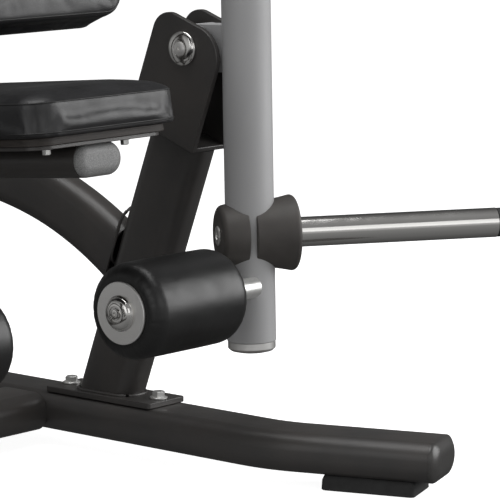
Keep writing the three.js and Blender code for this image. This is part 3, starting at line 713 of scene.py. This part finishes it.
def build_arch(side, label):
    rise, fall = ([Vector((RAIL_X, y, z)) for y, z in curve] for curve in (ARCH_RISE, ARCH_FALL))
    tube = sweep(bezier(rise, 14) + bezier(fall, 30)[1:], LATERAL, ARCH)
    arch = painted(f"arch_{label}", tube, HERE, [f"arch_brace_{label}"], side)
    cut(arch, block((300, 700), (800, 1300), (-100, RAIL_TOP + GAP)), HERE, side)
    # The flank of the upright, and everything ahead of it, trims the arch's front end.
    cut(arch, block((-200, 200), (-400, 57), (-100, 900)), UPRIGHT_PLACE, side)
    joint_line = [Vector((x, 0, z)) + ARCH_JOINT_CENTRE for x, z in oval(*ARCH_JOINT)]
    weld(f"arch_weld_{label}", joint_line, UPRIGHT_PLACE, side, ARCH_WELD_STEP, ARCH_WELD_RADIUS)


# ---------- swinging levers ----------
def lever_matrix(label):
    return pivot_matrix(label) @ Matrix.Rotation(LEVER_TILT, 4, "X")


def upright_turned(shape):
    """Turns a shape built along X so that it stands along +Z on the lever's axis."""
    return moved(shape, Matrix.Translation((0, LEVER_Y, 0)) @ STAND)


def build_levers():
    for side, label in SIDES:
        body = f"lever_{label}"
        place = lever_matrix(label)
        tube = upright_turned(rod(LEVER_RADIUS, LEVER_BOTTOM + 16, LEVER_TOP, 96, 0.8))
        hub = rod(HUB_RADIUS, -HUB_HALF, HUB_HALF, 72)
        web = block((-22, 22), (LEVER_Y + 20, 0), (-HUB_RADIUS, HUB_RADIUS))
        piece(f"lever_{label}", tube, place, body, SILVER, "silver_paint", [f"lever_tube_{label}"], side)
        hub_piece = piece(f"lever_hub_{label}", hub, place, body, SILVER, "silver_paint", side=side)
        cut(hub_piece, rod(PIN_RADIUS + GAP, -60, 60), place, side)
        web_piece = piece(f"lever_web_{label}", web, place, body, SILVER, "silver_paint", side=side)
        cut(web_piece, rod(HUB_RADIUS - 1, -60, 60), place, side)
        ring = [(LEVER_BOTTOM + 2, 0), (LEVER_BOTTOM + 2, 31), (LEVER_BOTTOM, 32), (LEVER_BOTTOM, 34)]
        ring += [(LEVER_BOTTOM + 3.5, 38), (LEVER_BOTTOM + 5, 39), (LEVER_BOTTOM + 15, 39),
                 (LEVER_BOTTOM + 15.7, 38.4), (LEVER_BOTTOM + 15.7, 0)]
        piece(f"end_ring_{label}", upright_turned(turned(ring, 96)), place, body, BRIGHT, "chrome",
              [f"lever_end_ring_{label}"], side)
        stopper = turned([(LEVER_BOTTOM + 1.7, 0), (LEVER_BOTTOM + 1.7, 30.5), (LEVER_BOTTOM - 1, 29),
                          (LEVER_BOTTOM - 2, 26), (LEVER_BOTTOM - 2, 0)][::-1], 72)
        piece(f"lever_stopper_{label}", upright_turned(stopper), place, body, RUBBER, "foot_rubber",
              side=side)
        top = [(LEVER_TOP - 8, 0), (LEVER_TOP - 8, 35.5), (LEVER_TOP + 0.2, 35.5), (LEVER_TOP + 0.2, 39)]
        top += arc(LEVER_TOP + 2, 32, 6, 90, 0) + [(LEVER_TOP + 8, 0)]
        piece(f"lever_top_plug_{label}", upright_turned(turned(top, 72)), place, body, RUBBER, "foot_rubber",
              side=side)
        build_horn(side, label, body, place)
        build_roller(side, label, body, place)


def build_horn(side, label, body, place):
    axis = place @ Matrix.Translation((0, LEVER_Y, HORN_Z)) @ Matrix.Rotation(-HORN_ANGLE, 4, "Z")
    outer = [(2, 0), (2, 52), (3, 53), (30, 55), (52, 59)] + arc(67, 55, 7, 100, 0, 10)
    outer += [(74, 29.5), (68, 28.5), (68, 0)]
    inner = [(-53, 0), (-53, 15), (-52.5, 33)] + arc(-43, 40.5, 9.5, 180, 96, 8)
    inner += [(-34, 52), (-11, 53), (-10, 52), (-10, 0)]
    bore = moved(rod(LEVER_RADIUS + GAP, -120, 120, 96), STAND)
    for name, profile in (("outer", outer), ("inner", inner)):
        collar = piece(f"collar_{name}_{label}", turned(profile, 96), axis, body, COLLAR, "collar_plastic",
                       [f"horn_collar_{name}_{label}"], side)
        cut(collar, bore, axis, side)
    lip = [(68.3, 0), (68.3, 27.8), (74, 28.6), (76.5, 27.6), (76.5, 25), (68.3, 25), (68.3, 0)]
    piece(f"collar_lip_{label}", turned(lip, 72), axis, body, CHROME, "chrome", side=side)
    horn = rod(HORN_RADIUS, LEVER_RADIUS - 2, HORN_END, 96, 1.2)
    piece(f"horn_{label}", horn, axis, body, CHROME, "chrome", [f"plate_horn_{label}"], side)
    plug = [(HORN_END + GAP, 0), (HORN_END + GAP, 24)]
    plug += arc(HORN_END + 8, 20, 4, 90, 0) + [(HORN_END + 12, 0)]
    piece(f"plug_{label}", turned(plug, 72), axis, body, RUBBER, "foot_rubber", [f"horn_plug_{label}"], side)
    button = turned([(0, 0), (0, 16), (1.2, 16), (2.4, 14.5), (2.8, 6), (1.4, 5.6), (1.4, 0)], 64)
    screw = moved(button, Matrix.Translation((-52.8, 0, 0)) @ Matrix.Rotation(pi, 4, "Z"))
    piece(f"collar_screw_{label}", screw, axis, body, BRIGHT, "chrome", side=side)


def build_roller(side, label, body, place):
    axis = place @ Matrix.Translation((0, ROLLER_Y, ROLLER_Z))
    inner, outer = ROLLER_INNER, ROLLER_INNER + ROLLER_LENGTH
    axle = rod(AXLE_RADIUS, inner, -24, 64)
    stub = piece(f"axle_{label}", axle, axis, body, ZINC, "zinc_steel", [f"roller_axle_{label}"], side)
    to_lever = Matrix.Translation((0, LEVER_Y - ROLLER_Y, 0))
    bore = moved(rod(LEVER_RADIUS + GAP, -120, 120, 96), to_lever @ STAND)
    cut(stub, bore, axis, side)
    collar = turned([(outer + 0.5, 0), (outer + 0.5, 23), (outer + 3, 23), (outer + 3, 0)], 48)
    piece(f"axle_washer_{label}", collar, axis, body, ZINC, "zinc_steel", side=side)
    build_roller_skin(side, label, axis)
    disc = [(0, 0), (0, 48), (0.8, 49), (3.2, 49), (4, 48.2), (4, 0)]
    facing_in = axis @ Matrix.Translation((inner - GAP, 0, 0)) @ Matrix.Rotation(pi, 4, "Z")
    piece(f"roller_disc_{label}", turned(disc, 96), facing_in, body, BRIGHT, "zinc_steel",
          [f"roller_end_cap_{label}"], side, angle=25)
    nut = [(4, 0), (4, 27), (5, 28), (6.5, 28), (7.3, 27)]
    for i in range(1, 13):
        turn = i / 12 * pi / 2
        nut.append((7.3 + 8.7 * sin(turn), 26 - 13.5 * (1 - cos(turn))))
    nut += [(14.8, 12), (14.8, 9.5), (16.8, 9), (17.2, 8), (17.2, 3.2), (15.5, 3), (15.5, 0)]
    piece(f"roller_nut_{label}", turned(nut, 96), facing_in, body, CHROME, "zinc_steel", side=side, angle=25)


def build_roller_skin(side, label, axis):
    """Foam under vinyl: a swollen sleeve whose ends tuck in with gathers towards the washers."""
    sides = 160
    inner, outer = ROLLER_INNER, ROLLER_INNER + ROLLER_LENGTH
    rounding = 26
    profile = [(inner + 1.2, 17)]
    profile += [(inner + 1.2, 30), (inner + 0.4, 44)]
    profile += arc(inner + rounding, ROLLER_RADIUS - rounding, rounding, 178, 92, 12)
    profile += [(inner + ROLLER_LENGTH * f, ROLLER_RADIUS + 0.4) for f in (0.3, 0.5, 0.7)]
    profile += arc(outer - rounding, ROLLER_RADIUS - rounding, rounding, 88, 2, 12)
    profile += [(outer - 0.4, 44), (outer - 1.2, 30), (outer - 1.2, 17)]
    rings = []
    for x, radius in profile:
        end = min(x - inner, outer - x) / rounding
        tuck = max(0.0, 1 - end) * max(0.0, min(1.0, (radius - 36) / 20))
        ring = []
        for i in range(sides):
            angle = 2 * pi * i / sides
            gather = sin(angle * 26) * 0.5 + sin(angle * 43 + 1.3) * 0.35
            pull = 0.55 * tuck * gather
            way = 1 if x < (inner + outer) / 2 else -1
            reach = radius + pull
            ring.append(Vector((x + way * abs(pull), reach * cos(angle), reach * sin(angle))))
        rings.append(ring)
    shape = loft(rings, caps=False)
    count = len(shape[0])
    last = count - sides
    shape[1].extend([[last + i, last + (i + 1) % sides, (i + 1) % sides, i] for i in range(sides)])
    skin = piece(f"roller_{label}", shape, axis, f"roller_{label}", ROLLER_SKIN, "roller_vinyl",
                 [f"shin_roller_{label}"], side, angle=70)


# ---------- overhead arms ----------
def build_arms():
    for side, label in SIDES:
        body = f"arm_{label}"
        place = Matrix.Translation((ARM_X, FRONT_CROSS_Y, ARM_Z)) @ Matrix.Rotation(ARM_RISE, 4, "X")
        tube = sweep([Vector((0, y, 0)) for y in (ARM_REAR, -ARM_FRONT)], LATERAL, ARM)
        hub = rod(ARM_HUB_RADIUS, -ARM_HUB_HALF, ARM_HUB_HALF, 72, 1.5)
        arm = piece(f"arm_hub_{label}", hub, place, body, SILVER, "silver_paint", side=side)
        cut(arm, rod(ARM_PIN_RADIUS + GAP, -60, 60), place, side)
        beam = piece(f"arm_beam_{label}", tube, place, body, SILVER, "silver_paint",
                     [f"pulldown_arm_{label}"], side)
        cut(beam, rod(ARM_HUB_RADIUS - 1, -60, 60), place, side)
        for name, y, way in (("front", -ARM_FRONT, -1), ("rear", ARM_REAR, 1)):
            plug = facing(Vector((0, y - way * 6, 0)), Vector((0, way, 0)))
            shape = tube_plug(ARM[0] - 7, ARM[1] - 7, 14, 7, 4)
            piece(f"arm_{name}_plug_{label}", shape, place @ plug, body, CAP, "tube_end_cap", side=side)
        handle = rod(HANDLE_RADIUS, -GRIP_LENGTH - 46, -HANDLE_START, 48)
        at_grip = place @ Matrix.Translation((0, HANDLE_SETBACK - ARM_FRONT, 0))
        piece(f"handle_bar_{label}", handle, at_grip, body, CHROME, "chrome", side=side)
        piece(f"grip_{label}", grip_shape(), at_grip, body, RUBBER, "foot_rubber", [f"hand_grip_{label}"],
              side, angle=40)
        at_horn = place @ Matrix.Translation((0, ARM_HORN_Y, 0))
        horn = rod(HORN_RADIUS, ARM_HORN_START, ARM_HORN_END, 96, 3)
        piece(f"arm_horn_{label}", horn, at_horn, body, CHROME, "chrome", [f"arm_plate_horn_{label}"], side)
        collar = [(25.3, 0), (25.3, 61), (26.3, 62)] + arc(45.3, 54, 8, 90, 0) + [(53.3, 25), (50, 0)]
        piece(f"arm_collar_{label}", turned(collar, 96), at_horn, body, COLLAR, "collar_plastic",
              [f"arm_horn_collar_{label}"], side)
        build_arm_pin(side, label)


def grip_shape():
    """A rubber sleeve with a lip at each end and rings of grooves between."""
    start, stop = -GRIP_LENGTH - 44, -38
    profile = [(start, 0), (start, 17), (start + 4, 21), (start + 8, 19)]
    count = 22
    for i in range(count):
        x = start + 12 + i * (stop - start - 24) / count
        profile += [(x, 19), (x + 2.2, 19), (x + 2.8, 18.2), (x + 4.2, 18.2), (x + 4.8, 19)]
    profile += [(stop - 10, 19), (stop - 6, 24), (stop, 24), (stop, 0)]
    return turned(profile, 48)


def build_arm_pin(side, label):
    start, end = ARM_X - ARM_HUB_HALF - GAP, ARM_X + ARM_HUB_HALF + GAP
    profile = [(HEAD_HALF + GAP, 0), (HEAD_HALF + GAP, 30), (HEAD_HALF + 1.3, 31), (start, 31),
               (start, ARM_PIN_RADIUS), (end, ARM_PIN_RADIUS), (end, 33.4), (end + 5, 34), (end + 9, 30),
               (end + 12, 20), (end + 13, 13), (end + 11, 12), (end + 11, 7), (end + 6, 6.6), (end + 6, 0)]
    place = Matrix.Translation((0, FRONT_CROSS_Y, ARM_Z))
    piece(f"arm_pin_{label}", turned(profile, 72), place, "frame", CHROME, "chrome",
          [f"arm_pivot_pin_{label}"], side, angle=28)


# ---------- mast, head and strut ----------
def build_mast():
    mast_ends = [Vector((0, FRONT_CROSS_Y, z)) for z in (FLANGE_TOP, MAST_TOP)]
    mast = sweep(mast_ends, LATERAL, RAIL_ON_EDGE)
    painted("mast_tube", mast, HERE, ["mast"])
    flange_line = [(x, FRONT_CROSS_Y + y) for x, y in oval(220, 118, 10)]
    heights = (FLANGE_TOP - FLANGE_THICKNESS, FLANGE_TOP)
    painted("mast_flange", loft([[Vector((x, y, z)) for x, y in flange_line] for z in heights]), bevel=1.5)
    foot_line = oval(RAIL[1] + 3, RAIL[0] + 3, RAIL[2])
    weld("mast_weld", [Vector((x, FRONT_CROSS_Y + y, FLANGE_TOP + 1)) for x, y in foot_line])
    for side, label in SIDES:
        place = facing(Vector((80, FRONT_CROSS_Y, FLANGE_TOP)), UP)
        piece(f"mast_bolt_{label}", hex_bolt(), place, "frame", ZINC, "zinc_steel", side=side)
    ends = [Vector((x, FRONT_CROSS_Y, MAST_TOP + GAP + RAIL[1] / 2)) for x in (-HEAD_HALF, HEAD_HALF)]
    head = sweep(ends, -AHEAD, RAIL)
    painted("head_beam", head, HERE, ["head_tube"])
    foot = Vector((0, REAR_CROSS_Y, RAIL_TOP - 30))
    top = Vector((0, FRONT_CROSS_Y, STRUT_TOP))
    tube = sweep([foot, top], LATERAL, STRUT)
    strut = painted("strut_tube", tube, HERE, ["rear_strut"])
    cut(strut, block((-200, 200), (900, 1300), (-100, RAIL_TOP + GAP)), HERE)
    mast_rear = FRONT_CROSS_Y + RAIL[0] / 2 + GAP
    cut(strut, block((-200, 200), (0, mast_rear), (-100, 1400)), HERE)


# ---------- pads ----------
# A cushion's side, from its base up: height, and how far in from the pad's edge.
SEAT_SIDE = (
    (0, 1), (3, 0), (14, 0), (28, 0), (40, 0), (49, 0), (53, 2), (56, 10), (60, 28), (64, 50), (67, 74),
)
BACK_SIDE = (
    (0, 1), (3, 0), (14, 0), (30, 0), (50, 0), (60, 0), (66, 1), (69, 4), (71, 9), (71.5, 30), (72, 60),
)
PAD_MARGIN = 2
CLOTH_FRAMES = 20
CLOTH_PRESSURE = 4
CLOTH_CAP = 3
CLOTH_VOXEL = 5
HELD_HEIGHT = 8
SEAM_RADIUS = 1.3


def cushion_shape(spec, profile):
    """A plump block on z = 0: a straight side that turns over into a crowned top."""
    rings = []
    for z, inset in profile:
        inset += PAD_MARGIN
        width, depth = spec["width"] - 2 * inset, spec["depth"] - 2 * inset
        outline = oval(width, depth, max(spec["corner"] - inset, 14), 8)
        rings.append([Vector((x, y + spec["depth"] / 2, z)) for x, y in outline])
    return loft(rings)


def inflate(obj, place):
    """Blows the closed mesh up as cloth over foam, held at its base, and keeps the result."""
    remesh = obj.modifiers.new("even", "REMESH")
    remesh.mode = "VOXEL"
    remesh.voxel_size = CLOTH_VOXEL * MM
    even = evaluated_mesh(obj)
    obj.modifiers.remove(remesh)
    obj.data = even
    start = [v.co.copy() for v in even.vertices]
    to_local = (WORLD @ place).inverted()
    held = obj.vertex_groups.new(name="held")
    held.add([i for i, co in enumerate(start) if (to_local @ co).z < HELD_HEIGHT], 1.0, "REPLACE")
    cloth = obj.modifiers.new("cloth", "CLOTH")
    cloth.settings.use_pressure = True
    cloth.settings.uniform_pressure_force = CLOTH_PRESSURE
    cloth.settings.vertex_group_mass = "held"
    cloth.settings.effector_weights.gravity = 0
    cloth.settings.quality = 5
    cloth.settings.tension_stiffness = 18
    cloth.settings.compression_stiffness = 18
    cloth.settings.bending_stiffness = 2
    scene = bpy.context.scene
    for number in range(1, CLOTH_FRAMES + 1):
        scene.frame_set(number)
    blown = evaluated_mesh(obj)
    obj.modifiers.remove(cloth)
    for v, rest in zip(blown.vertices, start):
        move = v.co - rest
        if move.length > CLOTH_CAP * MM:
            v.co = rest + move.normalized() * CLOTH_CAP * MM
    obj.data = blown
    obj.vertex_groups.clear()
    scene.frame_set(1)
    relax = obj.modifiers.new("relax", "SMOOTH")
    relax.iterations = 2
    obj.data = evaluated_mesh(obj)
    obj.modifiers.remove(relax)


def outline_on(obj, spec, place, height, steps=180):
    """Points round a pad's side at one height, found by looking inward at its surface."""
    tree = BVHTree.FromObject(obj, bpy.context.evaluated_depsgraph_get())
    matrix = WORLD @ place
    turn = matrix.to_3x3()
    middle = spec["depth"] / 2
    points = []
    outline = oval(spec["width"] + 60, spec["depth"] + 60, spec["corner"] + 30, steps // 4)
    for x, y in outline:
        inner_x = max(-spec["width"] / 2 + spec["corner"], min(spec["width"] / 2 - spec["corner"], x))
        inner_y = max(-spec["depth"] / 2 + spec["corner"], min(spec["depth"] / 2 - spec["corner"], y))
        aim = Vector((inner_x - x, inner_y - y, 0))
        origin = matrix @ Vector((x, y + middle, height))
        hit = tree.ray_cast(origin, (turn @ aim).normalized())[0]
        if hit:
            points.append(matrix.inverted() @ hit)
    return points


def build_pad(name, spec, place, node, profile, seams):
    pad = piece(name, cushion_shape(spec, profile), place, "frame", PAD_SKIN, "pad_vinyl", [node])
    inflate(pad, place)
    pad.data.materials.clear()
    pad.data.materials.append(PAD_SKIN)
    pad.data.shade_smooth()
    finer = pad.modifiers.new("finer", "SUBSURF")
    finer.levels = finer.render_levels = 1
    bpy.context.view_layer.update()
    for label, height in seams:
        loop = outline_on(pad, spec, place, height)
        cord = round_cord(loop + loop[:1], SEAM_RADIUS)
        piece(f"{name}_seam_{label}", cord, place, "frame", SEAM, "pad_vinyl", angle=80)


def flat_board(spec, inset, low, high):
    outline = oval(spec["width"] - 2 * inset, spec["depth"] - 2 * inset, spec["corner"] - inset * 0.6)
    return loft([[Vector((x, y + spec["depth"] / 2, z)) for x, y in outline] for z in (low, high)])


def build_screws(name, shape, place, reach, rows, base):
    for x, side_name in ((reach, "left"), (-reach, "right")):
        for y, row_name in rows:
            at = place @ facing(Vector((x, y, base)), -UP)
            piece(f"{name}_{side_name}_{row_name}", shape, at, "frame", ZINC, "zinc_steel")


def build_seat():
    build_pad("seat_cushion", SEAT, SEAT_PLACE, "seat_pad", SEAT_SIDE, SEAT_SEAMS)
    ply = flat_board(SEAT, BOARD_INSET, -BOARD, -GAP)
    piece("seat_ply", ply, SEAT_PLACE, "frame", PLY, "board", ["seat_board"], bevel=1.2)
    steel_top = -BOARD - GAP
    steel = flat_board(SEAT, STEEL_INSET, steel_top - SEAT_STEEL, steel_top)
    painted("seat_steel", steel, SEAT_PLACE, bevel=1)
    beam_z = steel_top - SEAT_STEEL - SEAT_BEAM[1] / 2 + 0.5
    mast_face = (FRONT_CROSS_Y - RAIL[0] / 2 - SEAT_FRONT_Y) / cos(SEAT_TILT) - 6
    ends = [Vector((0, y, beam_z)) for y in (SEAT_BEAM_START, mast_face)]
    beam = sweep(ends, LATERAL, SEAT_BEAM)
    painted("seat_beam_tube", beam, SEAT_PLACE, ["seat_beam"])
    nose = tube_plug(SEAT_BEAM[0] - 2, SEAT_BEAM[1] - 2, 23.5, 12, 15)
    nose_place = SEAT_PLACE @ facing(Vector((0, SEAT_BEAM_START - GAP, beam_z)), AHEAD)
    piece("seat_beam_nose", nose, nose_place, "frame", CAP, "tube_end_cap", ["seat_beam_cap"])
    screw = moved(hex_bolt(6.5, 9), Matrix.Scale(0.8, 4, LATERAL))
    screw_base = steel_top - SEAT_STEEL - GAP
    build_screws("seat_screw", screw, SEAT_PLACE, SEAT_SCREW_X, SEAT_SCREW_ROWS, screw_base)


def build_back():
    face = BACK_PLACE @ BACK_FACE
    build_pad("back_cushion", BACK, face, "back_pad", BACK_SIDE, BACK_SEAMS)
    ply = flat_board(BACK, BOARD_INSET, -BOARD - GAP, -GAP)
    piece("back_ply", ply, face, "frame", PLY, "board", ["back_board"], bevel=1.2)
    bracket = frame["nodes"]["back_bracket"].data
    bracket.materials.clear()
    bracket.materials.append(FRAME)
    bolt_base = -BOARD - BACK_PLATE - 3 * GAP
    build_screws("back_bolt", hex_bolt(8, 12), face, BACK_BOLT_X, BACK_BOLT_ROWS, bolt_base)


# ---------- studio ----------
def build_floor():
    """A white floor that stays out of the pieces' light, so that their undersides keep their tone."""
    reach = 30.0
    mesh = bpy.data.meshes.new("floor")
    mesh.from_pydata([(-reach, -reach, 0), (reach, -reach, 0), (reach, reach, 0), (-reach, reach, 0)], [],
                     [(0, 1, 2, 3)])
    floor = bpy.data.objects.new("floor", mesh)
    bpy.context.scene.collection.objects.link(floor)
    white = bpy.data.materials.new("studio_white")
    white.use_nodes = True
    shader = white.node_tree.nodes["Principled BSDF"]
    shader.inputs["Base Color"].default_value = (0.7, 0.7, 0.7, 1)
    shader.inputs["Roughness"].default_value = 0.9
    shader.inputs["Specular IOR Level"].default_value = 0
    shader.inputs["Emission Color"].default_value = (1, 1, 1, 1)
    shader.inputs["Emission Strength"].default_value = 0.93
    mesh.materials.append(white)
    floor.visible_diffuse = False
    floor.visible_glossy = False


# Brightness of the room by height of the direction looked in, from straight down to straight up.
ROOM = ((0.0, 0.14), (0.42, 0.26), (0.5, 0.5), (0.58, 0.42), (0.7, 0.2), (1.0, 0.3))
ROOM_BRIGHT_SIDE = (-0.76, -0.65, 0)
ROOM_DARK_SHARE = 0.3


def build_room():
    """A grey room, brighter towards the machine's front right than behind it."""
    world = bpy.data.worlds.new("studio")
    bpy.context.scene.world = world
    world.use_nodes = True
    nodes, links = world.node_tree.nodes, world.node_tree.links
    direction = nodes.new("ShaderNodeTexCoord").outputs["Generated"]
    split = nodes.new("ShaderNodeSeparateXYZ")
    links.new(direction, split.inputs["Vector"])
    height = nodes.new("ShaderNodeMapRange")
    height.inputs["From Min"].default_value = -1
    links.new(split.outputs["Z"], height.inputs["Value"])
    ramp = nodes.new("ShaderNodeValToRGB")
    links.new(height.outputs["Result"], ramp.inputs["Fac"])
    elements = ramp.color_ramp.elements
    elements[0].position, elements[1].position = ROOM[0][0], ROOM[-1][0]
    for place, _ in ROOM[1:-1]:
        elements.new(place)
    for element, (_, tone) in zip(elements, ROOM):
        element.color = (tone, tone, tone, 1)
    side = nodes.new("ShaderNodeVectorMath")
    side.operation = "DOT_PRODUCT"
    side.inputs[1].default_value = ROOM_BRIGHT_SIDE
    links.new(direction, side.inputs[0])
    share = nodes.new("ShaderNodeMapRange")
    share.inputs["From Min"].default_value = -0.8
    share.inputs["From Max"].default_value = 0.2
    share.inputs["To Min"].default_value = ROOM_DARK_SHARE
    links.new(side.outputs["Value"], share.inputs["Value"])
    background = nodes["Background"]
    links.new(ramp.outputs["Color"], background.inputs["Color"])
    links.new(share.outputs["Result"], background.inputs["Strength"])


# Each soft box: where it stands, what it faces, its width and height in metres, and its radiance.
SOFT_BOXES = (
    ("front_left", (3.6, -3.1, 1.75), (0.3, -0.4, 0.6), 3.0, 2.7, 4.1),
    ("front", (-0.9, -4.6, 2.0), (0.3, -0.4, 0.6), 3.0, 2.2, 0.9),
    ("overhead", (-0.2, -0.2, 4.6), (0.0, 0.0, 0.6), 3.2, 3.2, 3.4),
    ("right_side", (-4.0, -1.0, 1.7), (0.4, -0.4, 0.5), 3.0, 2.6, 0.9),
)


def build_lamps():
    for name, place, target, width, height, radiance in SOFT_BOXES:
        light = bpy.data.lights.new(name, "AREA")
        light.shape = "RECTANGLE"
        light.size, light.size_y = width, height
        light.energy = radiance * pi * width * height
        lamp = bpy.data.objects.new(name, light)
        lamp.location = place
        aim = Vector(target) - Vector(place)
        lamp.rotation_euler = aim.to_track_quat("-Z", "Y").to_euler()
        bpy.context.scene.collection.objects.link(lamp)


def build_camera():
    """A long lens from the machine's front right corner, looking down on its left lever."""
    pitch, azimuth = radians(8.85), radians(-49.6)
    data = bpy.data.cameras.new("camera")
    data.sensor_width = 36
    data.lens = 216
    data.clip_end = 60
    camera = bpy.data.objects.new("camera", data)
    camera.location = WORLD @ Vector((-3178, -3120, 1123))
    aim = Vector((-sin(azimuth) * cos(pitch), cos(azimuth) * cos(pitch), -sin(pitch)))
    camera.rotation_euler = aim.to_track_quat("-Z", "Y").to_euler()
    bpy.context.scene.collection.objects.link(camera)
    bpy.context.scene.camera = camera
    bpy.context.scene.view_settings.view_transform = "Standard"


build_camera()
build_floor()
build_room()
build_lamps()
build_base()
build_uprights()
build_levers()
build_arms()
build_mast()
build_seat()
build_back()
